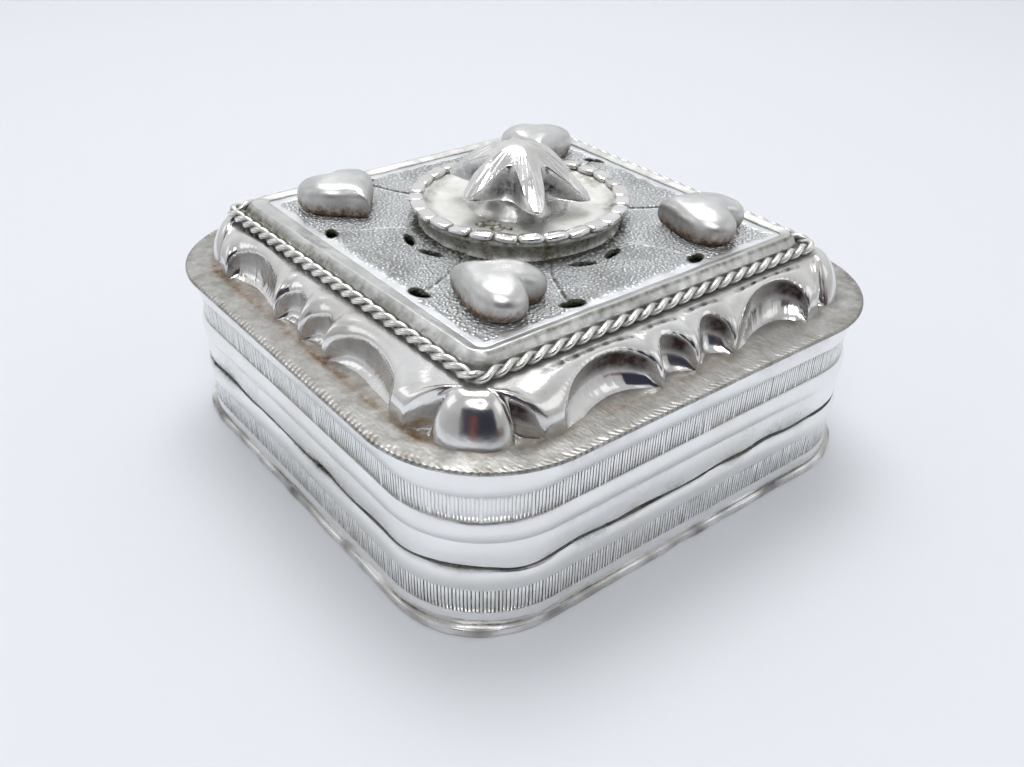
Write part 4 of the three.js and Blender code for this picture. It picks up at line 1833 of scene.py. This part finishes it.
    def _pearl(self, height: float) -> Piece:
        """Models one pearl: a full cushion, lying along X.

        Args:
            height: height over the rim.

        Returns:
            The pearl.
        """
        deselect_all()
        bpy.ops.mesh.primitive_uv_sphere_add(segments=16, ring_count=10, radius=1)
        pearl = bpy.context.object
        ball = coordinates(pearl)
        full = np.sign(ball) * np.abs(ball) ** self.pearl_fullness
        set_coordinates(pearl, full * (self.pearl_length / 2, self.rim_width / 2, height / 2))
        points = coordinates(pearl)
        share = np.abs(points[:, 0]) / (self.pearl_length / 2)
        # Painted shade on the pearl's underside, and dirt with painted shade at its ends, where it meets
        # the next pearl.
        shaded_underside = np.clip(-points[:, 2] / height, 0, 0.5)
        set_level(pearl, 0.7 * unit((share - 0.85) / 0.15) + 0.9 * shaded_underside)
        return pearl

    def _pearl_ring(self) -> Piece:
        """Sets the pearls round the rim, each a little off, as stamped by hand.

        Returns:
            The ring of pearls.
        """
        low, high = heights("beaded_ring")
        reach = half_width("rosette_dish") - self.rim_width / 2
        draw = np.random.default_rng(SEED)
        places = []
        for index in range(self.pearls):
            angle = 2 * math.pi * (index + 0.5) / self.pearls
            wide, deep, tall = draw.uniform(0.92, 1.04), draw.uniform(0.86, 1.0), draw.uniform(0.82, 1.0)
            tilt = Matrix.Rotation(draw.uniform(-0.14, 0.14), 4, "Y")
            spot = Matrix.Translation((0, reach, low + 0.5 * (high - low) * tall))
            size = Matrix.Diagonal((wide, deep, tall, 1))
            places.append(Matrix.Rotation(angle - math.pi / 2, 4, "Z") @ spot @ tilt @ size)
        return copies("pearl_ring", self._pearl(high - low), places)

    def _star(self, across: Array, up: Array) -> tuple[Array, Array]:
        """Places the rosette's grid: its foot, the hollows between its petals and the ridged dome.

        Args:
            across: shares of the way round.
            up: shares from the foot over the edge to the top.

        Returns:
            Points and grime.
        """
        low, high = heights("rosette")
        off = 2 * np.abs(np.mod(across * self.petals + 0.5, 1.0) - 0.5)
        petal = np.cos(0.5 * math.pi * off) ** 3.2
        brow = self.brow + (self.petal_reach - self.brow) * petal
        hem = self.hem + (self.petal_reach - self.hem) * petal
        tip = low + self.tip_lift

        def dome(radius: Array) -> Array:
            """Finds the height of the dome, with its flutes and a fine line along each ridge.

            Args:
                radius: distances from the middle.

            Returns:
                Heights in mm.
            """
            share = radius / self.petal_reach
            crease = self.flute * np.abs(np.sin(0.5 * math.pi * off)) ** 1.1 * smooth((share - 0.1) / 0.5)
            on_ridge = smooth((0.6 - off) / 0.2)
            line = 0.03 * np.cos(10 * math.pi * off) * on_ridge * smooth((share - 0.25) / 0.2)
            return high - (high - tip) * share**2.1 - crease + line - 0.03

        # Shares of the way up at which the base, the flank, the hollow and the edge end.
        foot, flank, under, edge = 0.05, 0.2, 0.28, 0.5
        rise = smooth((up - foot) / (flank - foot))
        lip = smooth((up - flank) / (under - flank))
        climb = unit((up - under) / (edge - under))
        share = 1 - unit((up - edge) / (1 - edge))
        radius = np.where(up <= foot, self.base * up / foot, self.base - 1.2 * rise**0.6)
        radius = radius + (hem - radius) * lip
        radius = np.where(up > under, hem + (brow - hem) * climb**0.7, radius)
        radius = np.where(up > edge, brow * share, radius)
        z = low + (tip - 0.35 - low) * rise + 0.2 * lip
        z = z + (dome(brow) - z) * climb**1.4
        z = np.where(up > edge, dome(radius), z)
        facing = 2 * math.pi * across + math.radians(self.turn)
        lean = math.tan(math.radians(self.lean)) * smooth((z - low) / 0.3)
        z = z + lean * radius * np.cos(facing - math.radians(self.raised_side))
        points = np.column_stack([radius * np.cos(facing), radius * np.sin(facing), np.minimum(z, high)])
        # Painted shade and a painted reflection of the room's dark side in the hollows between the petals,
        # with some tarnish, and painted shade on the foot under the petals' edges.
        hollow = (1 - petal) * np.sin(math.pi * unit(1.1 * climb)) * (up <= edge)
        brown = 0.3 * unit(rough_field(points, 1.3, 2.0)) * smooth((share - 0.4) / 0.3)
        below = np.where(up < under, 0.3 + 0.4 * rough_field(points, 0.8, 4.0), 0)
        return points, 0.85 * hollow + brown + below

    def build(self) -> None:
        """Models and dresses the three pieces."""
        settle(self._dish(), Body.LID, SOILED, ["rosette_dish"], 60)
        settle(self._pearl_ring(), Body.LID, POLISHED, ["beaded_ring"], 180)
        columns = self.petals * self.petal_faces
        star = wrapped_grid("star_rosette", columns, self.star_rows, self._star)
        settle(star, Body.LID, BLACKENED_AND_SHADED, ["rosette"], 60)


@dataclass(frozen=True)
class PuffedHearts:
    """Four puffed hearts in the corners of the panel, points towards the rosette.

    Attributes:
        point: distance of the point from the middle.
        lobes: distance of the lobes from the middle.
        width: width over the lobes.
        foot_share: size of the foot, as a share of the widest outline.
        widest: height of the widest outline, as a share of the height.
        puff: how full the dome is: 2 is an ellipse, and more is fuller.
        notch: how much of the outline is a heart, and not an oval, from 0 to 1.
        columns: faces round a heart.
        rows: faces from the foot of a heart to its top.
        twists: how far each heart is turned about its own middle, in degrees.
    """

    point: float = 9.6
    lobes: float = 15.9
    width: float = 6.0
    foot_share: float = 0.9
    widest: float = 0.34
    puff: float = 2.9
    notch: float = 0.72
    columns: int = 96
    rows: int = 36
    twists: tuple[tuple[str, float], ...] = (
        ("back_right", -15),
        ("back_left", 10),
        ("front_left", -40),
        ("front_right", 72),
    )

    def _outline(self, across: Array, share: Array) -> Array:
        """Outline of the heart, rounder towards the top of the dome.

        Args:
            across: shares of the way round.
            share: sizes, 1 at the widest outline.

        Returns:
            Plan points with the point at -X, as shares of the half length and half width.
        """
        t = 2 * math.pi * across
        along = 13 * np.cos(t) - 5 * np.cos(2 * t) - 2 * np.cos(3 * t) - np.cos(4 * t)
        low, high = -17.0, 12.05
        heart = np.column_stack([2 * (along - low) / (high - low) - 1, np.sin(t) ** 3])
        oval = np.column_stack([0.9 * np.cos(t), 0.86 * np.sin(t)])
        keep = (self.notch * share**0.9)[:, None]
        return (oval + (heart - oval) * keep) * share[:, None]

    def _heart(self, corner: str, turn: float, twist: float) -> Piece:
        """Models one heart.

        Args:
            corner: name of its corner.
            turn: direction of its corner, in radians.
            twist: turn about its own middle, in degrees.

        Returns:
            The heart.
        """
        low, high = heights(f"heart_{corner}")
        spin = math.radians(twist)

        def place(across: Array, up: Array) -> tuple[Array, Array]:
            """Closes the foot, swells to the widest outline and rounds over the dome.

            Args:
                across: shares of the way round.
                up: shares from the middle of the foot to the top.

            Returns:
                Points and grime.
            """
            foot, side = 0.04, 0.16
            dome = unit((up - side) / (1 - side))
            polar = dome * math.pi / 2
            round_share = np.cos(polar) ** (2 / self.puff)
            round_rise = np.sin(polar) ** (2 / self.puff)
            swell = unit((up - foot) / (side - foot))
            flank = self.foot_share + (1 - self.foot_share) * np.sin(swell * math.pi / 2)
            share = np.where(up <= foot, up / foot * self.foot_share, flank)
            share = np.where(up > side, round_share, share)
            rise = np.where(up > side, self.widest + (1 - self.widest) * round_rise, self.widest * swell)
            plan = self._outline(across, share) * ((self.lobes - self.point) / 2, self.width / 2)
            cos, sin = math.cos(spin), math.sin(spin)
            x = plan[:, 0] * cos - plan[:, 1] * sin + (self.point + self.lobes) / 2
            y = plan[:, 0] * sin + plan[:, 1] * cos
            cos, sin = math.cos(turn), math.sin(turn)
            points = np.column_stack([x * cos - y * sin, x * sin + y * cos, low + (high - low) * rise])
            points[:, 2] -= 0.22 * smooth(rise / 0.5) * (0.5 + 0.5 * rough_field(points, 1.6, twist))
            return points, 1.1 * bell(rise, 0.42)

        return wrapped_grid(f"puffed_heart_{corner}", self.columns, self.rows, place)

    def build(self) -> None:
        """Models and dresses the four hearts."""
        for index, (corner, twist) in enumerate(self.twists):
            heart = self._heart(corner, math.pi / 4 + index * math.pi / 2, twist)
            settle(heart, Body.LID, PUFFED, [f"heart_{corner}"], 75)


def plain_material(name: str, values: dict) -> bpy.types.Material:
    """Makes an even material for a piece of the studio.

    Args:
        name: name of the material.
        values: constants of the shader's sockets by name.

    Returns:
        The material.
    """
    made = bpy.data.materials.new(name)
    made.use_nodes = True
    for key, value in values.items():
        made.node_tree.nodes["Principled BSDF"].inputs[key].default_value = value
    return made


@dataclass(frozen=True)
class Studio:
    """Camera, pale floor and soft light.

    Attributes:
        eye: place of the camera, in mm.
        right: the picture's right in the box's frame.
        up: the picture's up in the box's frame.
        lens: focal length, in mm.
        sensor: width of the sensor, in mm.
        nearest: distance from which on the camera sees, in mm.
        floor_size: width of the floor, in mm.
        floor_colour: colour of the floor.
        sky_low: linear light of the room at the floor and below.
        sky_middle: linear light of the room half way up.
        sky_high: linear light of the room overhead.
        sky_front: direction in which the room is dimmest.
        sky_range: strength of the light from behind the box and from its front.
        target: height at which the ring lamp and the cards aim, in mm.
        lamp_target: height at which the soft boxes aim, in mm.
    """

    eye: tuple[float, float, float] = (52.48, -42.28, 45.84)
    right: tuple[float, float, float] = (0.616, 0.787, 0.016)
    up: tuple[float, float, float] = (-0.434, 0.323, 0.841)
    lens: float = 35.7
    sensor: float = 36.0
    nearest: float = 2.0
    floor_size: float = 1600.0
    floor_colour: str = "#d9dce1"
    sky_low: tuple[float, ...] = (0.55, 0.55, 0.56, 1)
    sky_middle: tuple[float, ...] = (0.7, 0.705, 0.72, 1)
    sky_high: tuple[float, ...] = (0.55, 0.555, 0.565, 1)
    sky_front: tuple[float, float, float] = (0.78, -0.63, 0)
    sky_range: tuple[float, float] = (1.25, 0.64)
    target: float = 15.0
    lamp_target: float = 10.0

    def _camera(self) -> None:
        """Puts the camera where the photograph was taken from."""
        right = Vector(self.right).normalized()
        back = right.cross(Vector(self.up)).normalized()
        turn = Matrix((right, back.cross(right), back)).transposed().to_4x4()
        data = bpy.data.cameras.new("camera")
        data.lens = self.lens
        data.sensor_width = self.sensor
        data.clip_start = self.nearest * MM
        camera = bpy.data.objects.new("camera", data)
        camera.matrix_world = Matrix.Translation(Vector(self.eye) * MM) @ turn
        bpy.context.scene.collection.objects.link(camera)
        bpy.context.scene.camera = camera

    def _floor(self) -> None:
        """Lays the pale floor of matt paper."""
        deselect_all()
        bpy.ops.mesh.primitive_plane_add(size=self.floor_size * MM)
        floor = bpy.context.object
        floor.name = "floor"
        looks = {"Base Color": linear(self.floor_colour), "Roughness": 0.8}
        floor.data.materials.append(plain_material("matt_paper", looks))

    def _sky(self) -> None:
        """Surrounds the box with soft light, dimmer overhead and in front."""
        world = bpy.data.worlds.new("soft_room")
        world.use_nodes = True
        tree = world.node_tree
        tree.nodes.clear()
        direction = add_node(tree, "TexCoord").outputs["Generated"]
        parts = add_node(tree, "SeparateXYZ", links={0: direction})
        ramp = add_node(tree, "ValToRGB", links={0: parts.outputs["Z"]})
        colours = ramp.color_ramp.elements
        colours[0].color = self.sky_low
        colours[1].color = self.sky_high
        colours.new(0.5).color = self.sky_middle
        toward = {"operation": "DOT_PRODUCT"}
        front = add_node(tree, "VectorMath", toward, {1: self.sky_front}, {0: direction})
        behind, before = self.sky_range
        spread = {"From Min": -1.0, "From Max": 1.0, "To Min": behind, "To Max": before}
        strength = add_node(tree, "MapRange", None, spread, {"Value": front.outputs["Value"]})
        links = {"Color": ramp.outputs[0], "Strength": strength.outputs[0]}
        light = add_node(tree, "Background", links=links)
        add_node(tree, "OutputWorld", links={"Surface": light.outputs[0]})
        bpy.context.scene.world = world

    def _facing(self, place: Sequence[float]) -> Matrix:
        """Places a thing of the studio, in metres, with its Z towards the box."""
        turn = (Vector((0, 0, self.target)) - Vector(place)).to_track_quat("Z", "Y").to_matrix()
        return Matrix.Translation(Vector(place) * MM) @ turn.to_4x4()

    def _lamp(self, name: str, place: Sequence[float], size: float, power: float) -> None:
        """Hangs one soft box that faces the mint box.

        Args:
            name: name of the lamp.
            place: its place in mm.
            size: its width in mm.
            power: its power in watts.
        """
        data = bpy.data.lights.new(name, "AREA")
        data.size = size * MM
        data.energy = power
        lamp = bpy.data.objects.new(name, data)
        lamp.location = Vector(place) * MM
        aim = Vector((0, 0, self.lamp_target)) - Vector(place)
        lamp.rotation_euler = aim.to_track_quat("-Z", "Y").to_euler()
        lamp.visible_camera = False
        bpy.context.scene.collection.objects.link(lamp)

    def _ring_lamp(self, place: Sequence[float], radius: float, tube: float, strength: float) -> None:
        """Hangs a ring lamp over the camera, which gives the silver its round highlights.

        Args:
            place: its middle, in mm.
            radius: radius of the ring, in mm.
            tube: radius of its tube, in mm.
            strength: strength of its glow.
        """
        deselect_all()
        bpy.ops.mesh.primitive_torus_add(major_radius=radius * MM, minor_radius=tube * MM)
        ring = bpy.context.object
        ring.name = "ring_lamp"
        ring.matrix_world = self._facing(place)
        glow = {"Emission Color": linear("#ffffff"), "Emission Strength": strength}
        ring.data.materials.append(plain_material("ring_glow", glow))
        ring.visible_camera = False

    def _dark_card(self, name: str, place: Sequence[float], size: Sequence[float], colour: str) -> None:
        """Stands a dark card where only reflections see it, for the silver to mirror.

        Args:
            name: name of the card.
            place: its middle, in mm.
            size: its width and height, in mm.
            colour: its colour.
        """
        deselect_all()
        bpy.ops.mesh.primitive_plane_add(size=1)
        card = bpy.context.object
        card.name = name
        width, height = size
        card.matrix_world = self._facing(place) @ Matrix.Diagonal((width * MM, height * MM, 1, 1))
        looks = {"Base Color": linear(colour), "Roughness": 0.9}
        card.data.materials.append(plain_material(name, looks))
        card.visible_camera = False
        card.visible_diffuse = False
        card.visible_shadow = False

    def build(self) -> None:
        """Sets up the studio."""
        self._camera()
        self._floor()
        self._sky()
        self._lamp("window", place=(-110, 60, 350), size=200, power=0.65)
        self._lamp("front_left", place=(-160, -220, 200), size=170, power=0.04)
        self._lamp("right", place=(230, 180, 190), size=170, power=0.04)
        self._ring_lamp(place=(150, -120, 300), radius=70, tube=16, strength=6.0)
        self._dark_card("dark_cloth", place=(143, -88, 72), size=(200, 140), colour="#1c2132")
        self._dark_card("brown_cloth", place=(215, -60, 22), size=(330, 40), colour="#6e4a3c")
        self._dark_card("red_cloth", place=(104, -118, 40), size=(14, 74), colour="#7d3f33")
        bpy.context.scene.view_settings.view_transform = "Standard"


def main() -> None:
    """Builds the studio and every piece of the box."""
    logging.basicConfig(level=logging.INFO, format="%(message)s")
    Studio().build()
    BoxBottom().build()
    RolledWall(
        node="box_wall",
        body=Body.BOX,
        bands=((Band.PLAIN, 1.0), (Band.MILLED, 1.8), (Band.BEAD, 1.8)),
        seam_at_top=True,
        sheet=0.9,
    ).build()
    RolledWall(
        node="lid_wall",
        body=Body.LID,
        bands=((Band.PLAIN, 1.6), (Band.BEAD, 1.5), (Band.MILLED, 1.8), (Band.BEAD, 1.7)),
        seam_at_top=False,
        corner_wear=0.8,
        mill_dirt=0.62,
    ).build()
    ScrollBorder().build()
    TopFrame().build()
    ChasedPanel().build()
    Centrepiece().build()
    PuffedHearts().build()


if __name__ == "__main__":
    main()
